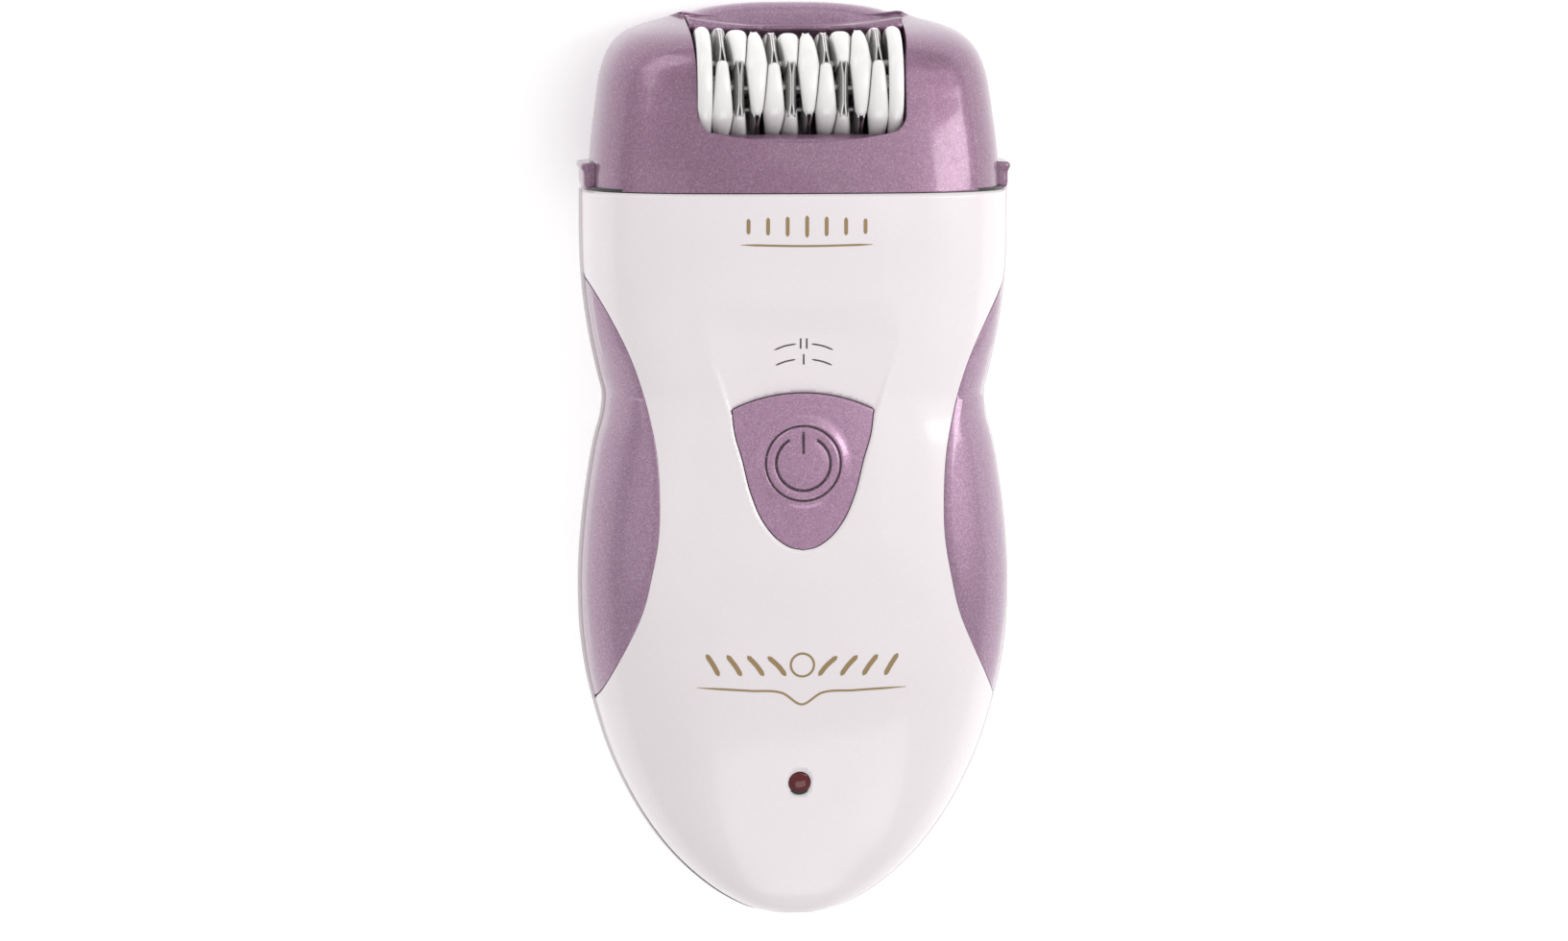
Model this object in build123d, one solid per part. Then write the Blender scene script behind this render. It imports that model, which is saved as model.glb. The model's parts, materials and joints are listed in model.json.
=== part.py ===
from build123d import *
import math
import os

os.makedirs("parts", exist_ok=True)

# Frame: X across the handle, Y along it (head end positive), Z out of the front face.
# The epilator lies on its back, so Z = 0 is the flat of the rear housing.

# ---- handle ---------------------------------------------------------------
split = 15.5            # height of the seam between the two housings
top = 44.8              # where the handle ends and the head begins
wall = 2.4
front_square = 0.78     # how square the front of a cross-section is (0.55 is an ellipse)
back_square = 0.81
# station along the handle, half width, front height, back height
stations = [
    (top, 35.4, 37.2, 2.0),
    (39.5, 35.4, 37.1, 1.1),
    (33.0, 35.2, 36.8, 0.1),
    (24.0, 34.3, 36.5, -0.6),
    (17.5, 33.1, 36.5, -0.6),
    (11.0, 31.8, 36.5, -0.6),
    (4.5, 32.9, 36.5, -0.6),
    (-3.0, 34.2, 36.5, -0.6),
    (-12.0, 35.2, 36.5, -0.6),
    (-21.0, 35.6, 36.2, -0.6),
    (-31.0, 34.9, 35.1, -0.6),
    (-42.0, 32.5, 32.7, -0.2),
    (-53.0, 28.3, 29.0, 2.0),
    (-63.0, 22.0, 25.0, 5.2),
    (-70.0, 15.0, 21.8, 8.5),
    (-73.7, 8.6, 19.9, 10.9),
    (-75.0, 4.4, 18.9, 12.1),
]
grip_depth = 1.4
panel_gap = 0.12        # shut line round the grips and the slider

# ---- head -----------------------------------------------------------------
head_bottom = 45.0
head_wall = 1.6
axis_y = 61.9           # drum axis
axis_z = 25.5
drum_shift = -0.2       # the drum sits slightly left of the middle
drum_radius = 9.7
disc_count = 10
disc_pitch = 2.85
disc_thick = 2.5
gap_half_angle = 29.0
rod_circle = 4.3
rod_radius = 0.6
shaft_radius = 2.0
window_half = 17.2
cheek_inner = 18.1
cheek_outer = 19.9

# ---- gear train -----------------------------------------------------------
module = 0.6
drum_teeth = 14
upper_teeth = 22
lower_teeth = 26
pinion_teeth = 10
gear_left = 20.4
gear_right = 22.0
upper_z = 22.0
lower_z = 17.5
motor_z = 15.5
backlash = 0.11


def mesh_y(y, z, next_z, teeth_a, teeth_b):
    """Height along the handle of the next axis, down from a known one."""
    distance = module * (teeth_a + teeth_b) / 2
    return y - math.sqrt(distance**2 - (z - next_z) ** 2)


upper_y = mesh_y(axis_y, axis_z, upper_z, drum_teeth, upper_teeth)
lower_y = mesh_y(upper_y, upper_z, lower_z, upper_teeth, lower_teeth)
motor_y = mesh_y(lower_y, lower_z, motor_z, lower_teeth, pinion_teeth)


def save(name, shape):
    export_step(shape, "parts/" + name + ".step")
    print(name, round(shape.volume, 2))


def box(x0, x1, y0, y1, z0, z1):
    return Pos((x0 + x1) / 2, (y0 + y1) / 2, (z0 + z1) / 2) * Box(x1 - x0, y1 - y0, z1 - z0)


def rod_x(x0, x1, y, z, radius):
    """A cylinder lying across the handle."""
    return Pos((x0 + x1) / 2, y, z) * Rot(0, 90, 0) * Cylinder(radius, x1 - x0)


def rod_y(y0, y1, x, z, radius):
    """A cylinder lying along the handle."""
    return Pos(x, (y0 + y1) / 2, z) * Rot(90, 0, 0) * Cylinder(radius, y1 - y0)


def rod_z(z0, z1, x, y, radius):
    """A cylinder standing out of the front face."""
    return Pos(x, y, (z0 + z1) / 2) * Cylinder(radius, z1 - z0)


def quarter(half, rise, square):
    """Bezier points from the side of a cross-section to its middle."""
    return [(half, 0), (half, rise * square), (half * square, rise), (0, rise)]


def section(y, half, front, back):
    """One closed cross-section of the handle or the head."""
    up = quarter(half, front - split, front_square)
    down = quarter(half, back - split, back_square)
    up = [(x, z + split) for x, z in up]
    down = [(x, z + split) for x, z in down]
    edges = [
        Bezier(*up),
        Bezier(*[(-x, z) for x, z in reversed(up)]),
        Bezier(*[(-x, z) for x, z in down]),
        Bezier(*reversed(down)),
    ]
    plane = Plane(origin=(0, y, 0), x_dir=(1, 0, 0), z_dir=(0, -1, 0))
    return plane * make_face(edges)


def handle_form(inset):
    """The handle's outer form, drawn in by an inset; no inset reaches the very tip."""
    rows = stations if inset < 2 else stations[:-2]
    faces = []
    for y, half, front, back in rows:
        slope = 1.0 if y > -60 else 1.5
        step = inset * slope
        faces.append(section(y, half - step, front - step, back + step))
    return loft(faces)


def mirror_x(points):
    return [(-x, y) for x, y in reversed(points)]


# ---- outlines in plan -----------------------------------------------------
def grip_region(offset):
    """Everything outside the curved inner edge of the right grip."""
    inner = [
        (35.9, 31.5),
        (31.4, 24.1),
        (28.2, 17.5),
        (25.2, 7.2),
        (23.7, -5.5),
        (24.9, -17.8),
        (28.8, -29.6),
        (35.5, -42.0),
    ]
    inner = [(x - offset, y) for x, y in inner]
    curve = Spline(*inner)
    y_top = inner[0][1]
    y_low = inner[-1][1]
    rest = Polyline(inner[-1], (45, y_low), (45, y_top), inner[0])
    return make_face([curve, rest])


def shield_outline(offset):
    """The slider: an arched top, sides drawing in to a rounded tip."""
    side = [
        (11.6 + offset, 9.4 + offset),
        (9.9 + offset, 1.4),
        (6.1 + offset, -9.05 - offset * 0.6),
        (0, -13.5 - offset),
    ]
    right = Spline(*side, tangents=[(-0.15, -1), (-1, 0)])
    left = Spline(*mirror_x(side), tangents=[(-1, 0), (0.15, 1)])
    arch = ThreePointArc(side[0], (0, 12.1 + offset), (-side[0][0], side[0][1]))
    return make_face([right, left, arch])


def recess_outline():
    """The thumb path above the slider, flaring towards the head."""
    right = Line((11.9, 8.6), (15.0, 19.0))
    crown = ThreePointArc((15.0, 19.0), (0, 27.0), (-15.0, 19.0))
    left = Line((-15.0, 19.0), (-11.9, 8.6))
    foot = Line((-11.9, 8.6), (11.9, 8.6))
    return make_face([right, crown, left, foot])


recess_floor = 35.6
slide_travel = 8.3

outer = handle_form(0)
grip_seat = handle_form(grip_depth)
inner = handle_form(wall)
shell = outer - inner
shell = shell & box(-60, 60, -90, 90, 0, 60)
front_shell = shell & box(-60, 60, -90, 90, split, 60)
rear_shell = shell & box(-60, 60, -90, 90, -1, split)

# ---- grips ----------------------------------------------------------------
seat_zone = extrude(grip_region(panel_gap), 60)
grip_zone = extrude(grip_region(0), 60)
seat_zone = seat_zone & box(0, 60, -90, 90, split, 60)
grip_zone = grip_zone & box(0, 60, -90, 90, split + 0.12, 60)
grip = (outer & grip_zone) - grip_seat
seat_cut = seat_zone - grip_seat
front_shell = front_shell - seat_cut
front_shell = front_shell - mirror(seat_cut, Plane.YZ)
save("right_grip", grip)
save("left_grip", mirror(grip, Plane.YZ))

# ---- slider recess, stem slot and lamp hole -------------------------------
lamp_y = -52.5
lamp_radius = 1.75
stem_y = 0.65
shield_pocket = extrude(shield_outline(panel_gap), 60) & box(-20, 20, -20, 20, recess_floor, 60)
ramp = make_face(
    Polyline((5, 60), (5, recess_floor), (21.6, recess_floor), (30, 37.6), (30, 60), (5, 60))
)
path_pocket = extrude(recess_outline(), 60) & extrude(Plane.YZ * ramp, 30, both=True)
front_shell = front_shell - shield_pocket - path_pocket
front_shell = front_shell - box(-2.1, 2.1, stem_y - 3.1, stem_y + 3.1 + slide_travel, 30, 60)
front_shell = front_shell - rod_z(20, 40, 0, lamp_y, lamp_radius + 0.1)

# ---- bosses and screws ----------------------------------------------------
screw_spots = [(29.4, 37.5), (-29.4, 37.5), (17.2, -50.0), (-17.2, -50.0)]
boss_radius = 2.8
screw_seat = 8.0
screws = []
for x, y in screw_spots:
    post = rod_z(-1, 60, x, y, boss_radius) & outer
    rear_shell = rear_shell + (post & box(-60, 60, -90, 90, 0, split))
    front_shell = front_shell + (post & box(-60, 60, -90, 90, split, 60) - grip_zone
                                 - mirror(grip_zone, Plane.YZ))
    rear_shell = rear_shell - rod_z(-1, screw_seat, x, y, 2.1)
    rear_shell = rear_shell - rod_z(-1, split + 1, x, y, 1.2)
    front_shell = front_shell - rod_z(split, 25, x, y, 1.0)
    screw = rod_z(screw_seat - 1.6, screw_seat, x, y, 1.95)
    screw = screw + rod_z(screw_seat, 24, x, y, 1.0)
    screw = screw - box(x - 1.3, x + 1.3, y - 0.3, y + 0.3, screw_seat - 1.6, screw_seat - 0.9)
    screw = screw - box(x - 0.3, x + 0.3, y - 1.3, y + 1.3, screw_seat - 1.6, screw_seat - 0.9)
    screws.append(screw)
save("housing_screws", Compound(children=screws))

# ---- charging socket at the tip -------------------------------------------
jack_nose = 2.8
jack_bore = 1.9
jack_pin = 0.65
pin_tail = 0.6  # half side of the pin's square tail
tip_hole = rod_y(-76, -60, 0, split, jack_nose + 0.05)
front_shell = front_shell - tip_hole
rear_shell = rear_shell - tip_hole
jack = rod_y(-75, -68.4, 0, split, jack_nose) + rod_y(-68.4, -60.5, 0, split, 3.9)
jack = jack - rod_y(-76, -63.6, 0, split, jack_bore)
jack = jack - box(-pin_tail, pin_tail, -64.5, -60, split - pin_tail, split + pin_tail)
save("charge_socket", jack)
pin = rod_y(-73.5, -63.6, 0, split, jack_pin)
pin = fillet(pin.edges().sort_by(Axis.Y)[0], 0.3)
pin = pin + box(-pin_tail, pin_tail, -63.6, -59, split - pin_tail, split + pin_tail)
save("socket_pin", pin)
front_shell = front_shell - rod_y(-68.5, -60.4, 0, split, 3.95)
rear_shell = rear_shell - rod_y(-68.5, -60.4, 0, split, 3.95)

# ---- printed marks --------------------------------------------------------
def stroke(x0, y0, x1, y1, width):
    """A straight printed line as a thin rectangle in plan."""
    length = math.hypot(x1 - x0, y1 - y0)
    turn = math.degrees(math.atan2(y1 - y0, x1 - x0))
    return Pos((x0 + x1) / 2, (y0 + y1) / 2) * Rot(0, 0, turn) * Rectangle(length, width)


def lozenge(x, y, long, wide):
    return Pos(x, y) * make_face(
        Polyline((long / 2, 0), (0, wide / 2), (-long / 2, 0), (0, -wide / 2), (long / 2, 0))
    )


def printed(shapes, low, high):
    """Ink strokes between two heights."""
    return Compound(children=[Pos(0, 0, low) * extrude(shape, high - low) for shape in shapes])


ink = 0.06
mark_strokes = []
for mark_y, rise in [(19.2, 1.0), (16.7, 0.95)]:
    mark_strokes.append(stroke(-4.7, mark_y, -1.1, mark_y + rise, 0.3))
    mark_strokes.append(stroke(1.4, mark_y + rise, 5.0, mark_y, 0.3))
for mark_x, mark_y in [(-0.35, 20.2), (0.65, 20.2), (0.15, 17.6)]:
    mark_strokes.append(stroke(mark_x, mark_y - 0.85, mark_x, mark_y + 0.85, 0.3))
save("speed_marks", printed(mark_strokes, recess_floor - 0.1, recess_floor))
front_shell = front_shell - printed(mark_strokes, recess_floor - 0.1, recess_floor + 0.1)

upper_trim = []
for step in range(-3, 4):
    upper_trim.append(lozenge(step * 3.2, 38.6, 1.1, 3.4 - 0.35 * abs(step)))
upper_trim.append(stroke(-10.8, 36.0, 10.8, 36.0, 0.3))
lower_trim = [stroke(-17.5, -36.2, 17.5, -36.2, 0.35)]
for step in range(-4, 5):
    if step != 0:
        turn = 58 if step > 0 else 122
        leaf = Rot(0, 0, turn) * lozenge(0, 0, 4.6, 1.2)
        lower_trim.append(Pos(step * 3.6, -33.6) * leaf)
lower_trim.append(Pos(0, -33.2) * (Circle(2.0) - Circle(1.6)))
skin = handle_form(-ink)
save("upper_trim", (printed(upper_trim, 30, 40) & skin) - outer)
save("lower_trim", (printed(lower_trim, 30, 40) & skin) - outer)

# ---- charge lamp, circuit board and slide switch --------------------------
board_low = 22.5
board_high = 24.1
lamp = rod_z(board_high, 28.4, 0, lamp_y, lamp_radius)
lamp = lamp + (Pos(0, lamp_y, 28.2) * Sphere(lamp_radius)) - box(-3, 3, -56, -49, 20, board_high)
save("charge_lamp", lamp)
board = box(-14, 14, -56, 12, board_low, board_high)
board = board - rod_z(22, 25, 11, -40, 1.4) - rod_z(22, 25, -11, -40, 1.4)
save("circuit_board", board)
save("board_parts", Compound(children=[
    box(-3, 3, -40, -34, board_high, board_high + 1.5),
    rod_z(board_high, board_high + 5.5, 7.5, -28, 2.5),
    rod_z(board_high, board_high + 5.5, -7.5, -28, 2.5),
]))
switch_body = box(-3.6, 3.6, -6, 16, board_high, 29.3) & box(-3.6, 3.6, -6, 11.9, 0, 60)
switch_body = switch_body - box(-1.1, 1.1, -0.9, 11, 27.6, 30)
save("switch_body", switch_body)
save("switch_lever", box(-1, 1, -0.4, 1.7, 27.8, 30.6))
save("slider_carrier", box(-6, 6, -4.5, 5.8, 30.6, 32.2))

# ---- slider ---------------------------------------------------------------
shield = extrude(shield_outline(0), 36.9) - box(-20, 20, -20, 20, 0, recess_floor + 0.05)
crown = rod_y(-20, 20, 0, 36.95 - 95, 95)
shield = shield & crown
shield = shield + rod_z(recess_floor + 0.05, 37.4, 0, stem_y, 7.0)
ring = Circle(4.9) - Circle(4.0) - Pos(0, 5) * Rectangle(3.4, 6)
symbol = Pos(0, stem_y) * (ring + Pos(0, 3.6) * Rectangle(0.9, 3.6))
shield = shield - Pos(0, 0, 37.0) * extrude(symbol, 2)
groove = Pos(0, stem_y, 37.15) * extrude(Circle(6.3) - Circle(5.9), 2)
shield = shield - groove
shield = shield + box(-2.0, 2.0, stem_y - 3, stem_y + 3, 32.2, recess_floor + 0.1)
save("switch_slider", shield)

# ---- battery --------------------------------------------------------------
cell_radius = 7.0
cell_z = 11.2
cells = {"right": 7.5, "left": -7.5}
for side, x in cells.items():
    cell = rod_y(-46, 3, x, cell_z, cell_radius) + rod_y(3, 4.2, x, cell_z, 2.6)
    save(side + "_battery", cell)
cradle = box(-15.5, 15.5, -47.6, 5.8, 3.6, 9.0) - rod_y(-46, 4.3, 7.5, cell_z, cell_radius)
cradle = cradle - rod_y(-46, 4.3, -7.5, cell_z, cell_radius) - box(-14.5, 14.5, -46, 4.3, 4, 10)
cradle = cradle & inner
save("battery_cradle", cradle)
tabs = []
for x in cells.values():
    tabs.append(box(x - 2.5, x + 2.5, 4.2, 4.5, 9.0, 20.5))
tabs.append(box(-11, 11, -46.3, -46.0, 9.2, 13.2))
save("battery_contacts", Compound(children=tabs))

# ---- motor and gear plate -------------------------------------------------
can_left = -13.0
can_right = 13.5
can = rod_x(can_left, can_right, motor_y, motor_z, 10.0)
can = can & box(-20, 20, motor_y - 7.7, motor_y + 7.7, 0, 40)
can = can - rod_x(can_left + 0.8, can_right + 1, motor_y, motor_z, 7.0)
save("motor_can", can)
end_bell = rod_x(can_right - 2.0, can_right, motor_y, motor_z, 7.0)
end_bell = end_bell - rod_x(can_right - 3, can_right + 1, motor_y, motor_z, 1.04)
save("motor_end_bell", end_bell)
shaft = rod_x(can_left + 1.0, gear_right + 0.3, motor_y, motor_z, 1.0)
save("motor_shaft", shaft)
armature = rod_x(-9.5, 9.0, motor_y, motor_z, 6.0) - rod_x(-10, 10, motor_y, motor_z, 1.0)
for step in range(3):
    slot = box(-10, 10, -0.8, 0.8, 2.4, 7)
    armature = armature - Pos(0, motor_y, motor_z) * Rot(120 * step, 0, 0) * slot
save("armature", armature)
bracket = box(14.4, 16.0, motor_y - 9.5, motor_y + 9.5, 3.0, 28.0) & inner
bracket = bracket - rod_x(14, 17, motor_y, motor_z, 3.2)
bracket = bracket + (rod_x(can_right, 14.5, motor_y, motor_z, 6.5)
                     - rod_x(13, 15, motor_y, motor_z, 3.2))
save("motor_bracket", bracket)
plate_left = 23.2
plate_right = 24.4
gear_plate = box(plate_left, plate_right, 12.0, 56.0, 7.5, 29.5) & (
    inner + box(0, 40, 40, 57, 7.5, 29.5)
)
gear_plate = gear_plate - rod_x(20, 26, motor_y, motor_z, 2.0)
axles = []
for y, z in [(upper_y, upper_z), (lower_y, lower_z)]:
    gear_plate = gear_plate - rod_x(20, 26, y, z, 1.0)
    axles.append(rod_x(gear_left - 0.3, plate_right, y, z, 1.0))
save("gear_plate", gear_plate)
save("gear_axles", Compound(children=axles))


def gear(teeth, y, z, first, bore):
    """A spur gear across the handle; first is the angle of one tooth, from +Y towards +Z."""
    pitch = module * teeth / 2
    base = pitch * math.cos(math.radians(20))
    root = pitch - 1.25 * module
    tip = pitch + 0.85 * module
    flat = math.tan(math.radians(20)) - math.radians(20)
    half_pitch = math.pi / (2 * teeth) - backlash / (2 * pitch)
    radii = [root, max(base, root + 0.01)]
    radii = radii + [radii[1] + (tip - radii[1]) * part for part in (0.35, 0.7, 1.0)]
    flank = []
    for radius in radii:
        press = math.acos(min(1.0, base / radius)) if radius > base else 0.0
        flank.append((radius, half_pitch + flat - (math.tan(press) - press)))
    points = []
    for tooth in range(teeth):
        middle = first + 2 * math.pi * tooth / teeth
        for radius, half in flank:
            points.append((radius * math.cos(middle - half), radius * math.sin(middle - half)))
        for radius, half in reversed(flank):
            points.append((radius * math.cos(middle + half), radius * math.sin(middle + half)))
    outline = make_face(Polyline(*points, close=True))
    if bore > 0:
        outline = outline - Circle(bore)
    solid = extrude(Plane.YZ * outline, gear_right - gear_left)
    return Pos(gear_left, y, z) * solid


def bearing_angle(y, z, next_y, next_z):
    return math.atan2(next_z - z, next_y - y)


drum_first = bearing_angle(axis_y, axis_z, upper_y, upper_z)
upper_first = drum_first + math.pi + math.pi / upper_teeth
down = bearing_angle(upper_y, upper_z, lower_y, lower_z)
# tooth position of the upper gear at its lower mesh decides where the lower gear's gap lies
offset = (down - upper_first) * upper_teeth / lower_teeth
lower_first = down + math.pi + math.pi / lower_teeth + offset
low = bearing_angle(lower_y, lower_z, motor_y, motor_z)
offset = (low - lower_first) * lower_teeth / pinion_teeth
pinion_first = low + math.pi + math.pi / pinion_teeth + offset
running = 0.04
save("upper_gear", gear(upper_teeth, upper_y, upper_z, upper_first, 1.0 + running))
save("lower_gear", gear(lower_teeth, lower_y, lower_z, lower_first, 1.0 + running))
save("pinion", gear(pinion_teeth, motor_y, motor_z, pinion_first, 1.0))
save("drum_gear", gear(drum_teeth, axis_y, axis_z, drum_first, shaft_radius))

# ---- neck, release tabs and their springs ---------------------------------
neck = handle_form(wall + 0.02) & box(-40, 40, 42.4, top, 0, 40)
neck = neck - box(20.0, plate_right, 40, 46, 7.0, 30.0)
tab_z = 15.5
tab_y = 46.9
for side in (1, -1):
    post = box(24.6, 25.4, 42.4, 48.6, 12.5, 18.5)
    neck = neck + (post if side > 0 else mirror(post, Plane.YZ))
    tab = box(32.6, 35.6, 44.9, 49.4, 8.5, 22.5)
    corner = tab.edges().filter_by(Axis.Z).sort_by(lambda edge: -edge.center().X - edge.center().Y)
    tab = fillet(corner[0], 1.4)
    for step in range(5):
        tab = tab - box(35.3, 36, 44, 50, 10.2 + 2.4 * step, 10.8 + 2.4 * step)
    tab = tab + box(29.5, 32.7, 45.3, 48.5, 13.5, 17.5)
    helix = Helix(pitch=0.8, height=4.1, radius=1.5)
    coil = sweep(Plane(origin=helix @ 0, z_dir=helix % 0) * Circle(0.2), path=helix)
    coil = Pos(25.4, tab_y, tab_z) * Rot(0, 90, 0) * coil
    coil = coil & box(25.4, 29.5, 44, 50, 10, 20)
    if side > 0:
        save("right_release", tab)
        save("right_spring", coil)
    else:
        save("left_release", mirror(tab, Plane.YZ))
        save("left_spring", mirror(coil, Plane.YZ))
save("neck", neck)

# ---- head casing ----------------------------------------------------------
casing_rows = [(head_bottom, 33.9, 37.2, 2.0), (53.0, 33.3, 36.3, 1.8),
               (60.0, 32.5, 34.8, 1.6), (67.0, 31.6, 33.2, 1.6), (76.0, 30.6, 31.6, 1.6)]


def casing_form(inset, bottom):
    """The head as a lofted sleeve, cut by its arched plan and by its side profile."""
    rows = [(y, half - inset, front - inset, back + inset) for y, half, front, back in casing_rows]
    sleeve = loft([section(*row) for row in rows])
    arch = [(34, 62.0), (31.4, 66.0), (28.2, 70.3), (22.6, 72.5), (11.5, 74.6), (0, 75.0)]
    arch = [(x - inset * (x > 0), y - inset) for x, y in arch]
    arch_left = mirror_x(arch)
    crown = Spline(*(arch + arch_left[1:]))
    foot = Polyline(arch_left[-1], (-60, 62 - inset), (-60, bottom), (60, bottom),
                    (60, 62 - inset), arch[0])
    plan = extrude(make_face([crown, foot]), 60)
    top_line = Spline((67 - inset, 33.6 - inset), (70.9 - inset, 30.2 - inset),
                      (72.0 - inset, 24 - inset), (72.8 - inset, 11),
                      (75.0 - inset, 4.6 + inset), (74.0 - inset, 2.2 + inset))
    around = Polyline(top_line @ 1, (70, 0), (bottom, 0), (bottom, 50), (67 - inset, 50),
                      top_line @ 0)
    profile = extrude(Plane.YZ * make_face([top_line, around]), 40, both=True)
    return sleeve & plan & profile


casing = casing_form(0, head_bottom)
cavity = casing_form(head_wall, head_bottom - 1)
rim_z = 8.0
window_low = ThreePointArc((-window_half, 55.9), (0, 53.7), (window_half, 55.9))
window_side = Polyline((window_half, 55.9), (window_half, 80), (-window_half, 80),
                       (-window_half, 55.9))
window = extrude(make_face([window_low, window_side]), 60) & box(-40, 40, 40, 90, rim_z, 60)
casing = casing - cavity - window
for side in (1, -1):
    x0, x1 = (31.0, 40.0) if side > 0 else (-40.0, -31.0)
    casing = casing - box(x0, x1, 40, 49.8, 7.9, 23.1)
save("head_casing", casing)

# ---- drum bed, cheeks, bearings and closing cams --------------------------
bed = rod_x(-cheek_inner, cheek_inner, axis_y, axis_z, 11.6)
bed = bed - rod_x(-20, 20, axis_y, axis_z, 10.4)
front_cut = make_face(Polyline((axis_y, axis_z), (axis_y - 9.9, axis_z + 9.4), (60, 60), (90, 60),
                               (90, 5), (axis_y + 9, axis_z - 9.6), (axis_y, axis_z)))
bed = bed - extrude(Plane.YZ * front_cut, 30, both=True)
bed = bed + box(-cheek_inner, cheek_inner, 69.6, 70.7, rim_z, 19.4)
bed = bed - rod_x(-20, 20, axis_y, axis_z, 10.4)
save("drum_bed", bed - casing)

cheek_shape = box(cheek_inner, cheek_outer, 48.8, 68.6, 3, 31.5) & cavity
cheek_shape = cheek_shape - rod_x(17, 21, axis_y, axis_z, 3.5)
frame_body = cheek_shape + mirror(cheek_shape, Plane.YZ)
frame_body = frame_body + (box(-27, 27, 52.0, 66.0, 3, 6.0) & cavity)
save("head_frame", frame_body)
bush = rod_x(cheek_inner, cheek_outer + 0.3, axis_y, axis_z, 3.5)
bush = bush - rod_x(17, 22, axis_y, axis_z, shaft_radius + running)
save("right_bearing", bush)
save("left_bearing", mirror(bush, Plane.YZ))
cam = rod_x(17.55, cheek_inner, axis_y, axis_z, 5.4) - rod_x(17, 19, axis_y, axis_z, 2.6)
save("closing_cams", Compound(children=[cam, mirror(cam, Plane.YZ)]))

# ---- drum -----------------------------------------------------------------
flange_inner = 14.25
flange_outer = 16.75
save("drum_shaft", rod_x(-cheek_outer - 0.6, gear_right + 0.4, axis_y, axis_z, shaft_radius))


def around_axis(shape, degrees):
    """Place a shape drawn about the X axis on the drum axis, turned."""
    return Pos(0, axis_y, axis_z) * Rot(degrees, 0, 0) * shape


rod_angles = [30 + 60 * step for step in range(6)]
rods = []
for angle in rod_angles:
    rod = around_axis(rod_x(-17.1, 17.1, rod_circle, 0, rod_radius), angle)
    rods.append(Pos(drum_shift, 0, 0) * rod)
save("push_rods", Compound(children=rods))


def wedge(half_angle, inner_radius):
    """A sector prism opening along +Y, used for the gaps that hold the tweezers."""
    reach = 14.0
    half = math.radians(half_angle)
    near = (inner_radius * math.cos(half), inner_radius * math.sin(half))
    far = (reach, near[1] + (reach - near[0]) * math.tan(half))
    face = make_face(Polyline((near[0], -near[1]), (far[0], -far[1]), far, near,
                              (near[0], -near[1])))
    return extrude(Plane.YZ * face, 3, both=True)


first_gap = 210.0
fixed_blades = []
moving_blades = []
for index in range(disc_count):
    x = drum_shift + (index - (disc_count - 1) / 2) * disc_pitch
    waist = 0.9 * (1 - ((index - 4.5) / 4.5) ** 2)
    radius = drum_radius - waist
    turn = first_gap + 60 * index
    disc = rod_x(-disc_thick / 2, disc_thick / 2, 0, 0, radius)
    disc = disc - rod_x(-2, 2, 0, 0, shaft_radius)
    for half_turn in (0, 180):
        disc = disc - Rot(half_turn, 0, 0) * wedge(gap_half_angle, 3.3)
    for angle in (60, 120, 240, 300):
        disc = disc - Rot(angle, 0, 0) * rod_x(-2, 2, rod_circle, 0, rod_radius + 0.1)
    save("disc_%02d" % (index + 1), Pos(x, 0, 0) * around_axis(disc, turn))
    for half_turn in (0, 180):
        for step in (-0.72, 0.72):
            leaf = box(-0.2, 0.2, 5.6, radius - 0.2, -1.9, 1.9)
            leaf = leaf + box(-0.2, 0.2, 3.4, 5.7, -1.2, 1.2)
            leaf = leaf - rod_x(-1, 1, rod_circle, 0, rod_radius + 0.1)
            fixed_blades.append(Pos(x + step, 0, 0) * around_axis(leaf, turn + half_turn))
        leaf = box(-0.3, 0.3, 3.5, radius - 0.2, -1.1, 1.1)
        leaf = leaf - rod_x(-1, 1, rod_circle, 0, rod_radius)
        moving_blades.append(Pos(x, 0, 0) * around_axis(leaf, turn + half_turn))
save("fixed_tweezers", Compound(children=fixed_blades))
save("moving_tweezers", Compound(children=moving_blades))
flange = rod_x(flange_inner, flange_outer, 0, 0, drum_radius)
flange = flange - rod_x(14, 18, 0, 0, shaft_radius)
for angle in rod_angles:
    flange = flange - Rot(angle, 0, 0) * rod_x(14, 18, rod_circle, 0, rod_radius + 0.1)
flange = around_axis(flange, 0)
save("right_flange", Pos(drum_shift, 0, 0) * flange)
save("left_flange", Pos(drum_shift, 0, 0) * mirror(flange, Plane.YZ))

save("front_housing", front_shell)
save("rear_housing", rear_shell)
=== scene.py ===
import json
import math
import bmesh
import bpy
from mathutils import Matrix, Vector
import numpy as np


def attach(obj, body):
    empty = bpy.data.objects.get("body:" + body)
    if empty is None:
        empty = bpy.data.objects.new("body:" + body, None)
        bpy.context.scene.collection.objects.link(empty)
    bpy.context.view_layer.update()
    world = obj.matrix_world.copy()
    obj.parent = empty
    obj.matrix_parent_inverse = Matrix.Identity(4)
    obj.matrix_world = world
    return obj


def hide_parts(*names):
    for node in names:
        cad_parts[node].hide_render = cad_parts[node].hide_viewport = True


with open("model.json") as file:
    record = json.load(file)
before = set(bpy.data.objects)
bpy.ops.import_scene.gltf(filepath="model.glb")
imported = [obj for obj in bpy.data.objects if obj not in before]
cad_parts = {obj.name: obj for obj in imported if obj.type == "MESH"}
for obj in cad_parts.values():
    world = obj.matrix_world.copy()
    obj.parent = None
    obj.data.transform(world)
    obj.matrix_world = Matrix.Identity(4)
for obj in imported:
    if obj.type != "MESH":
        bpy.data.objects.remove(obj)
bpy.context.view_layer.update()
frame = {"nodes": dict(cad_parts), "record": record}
print("frame loaded")

mm = 0.001
tiny = 1e-9
fineWeld = 0.000002


# ---- mesh helpers

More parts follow.
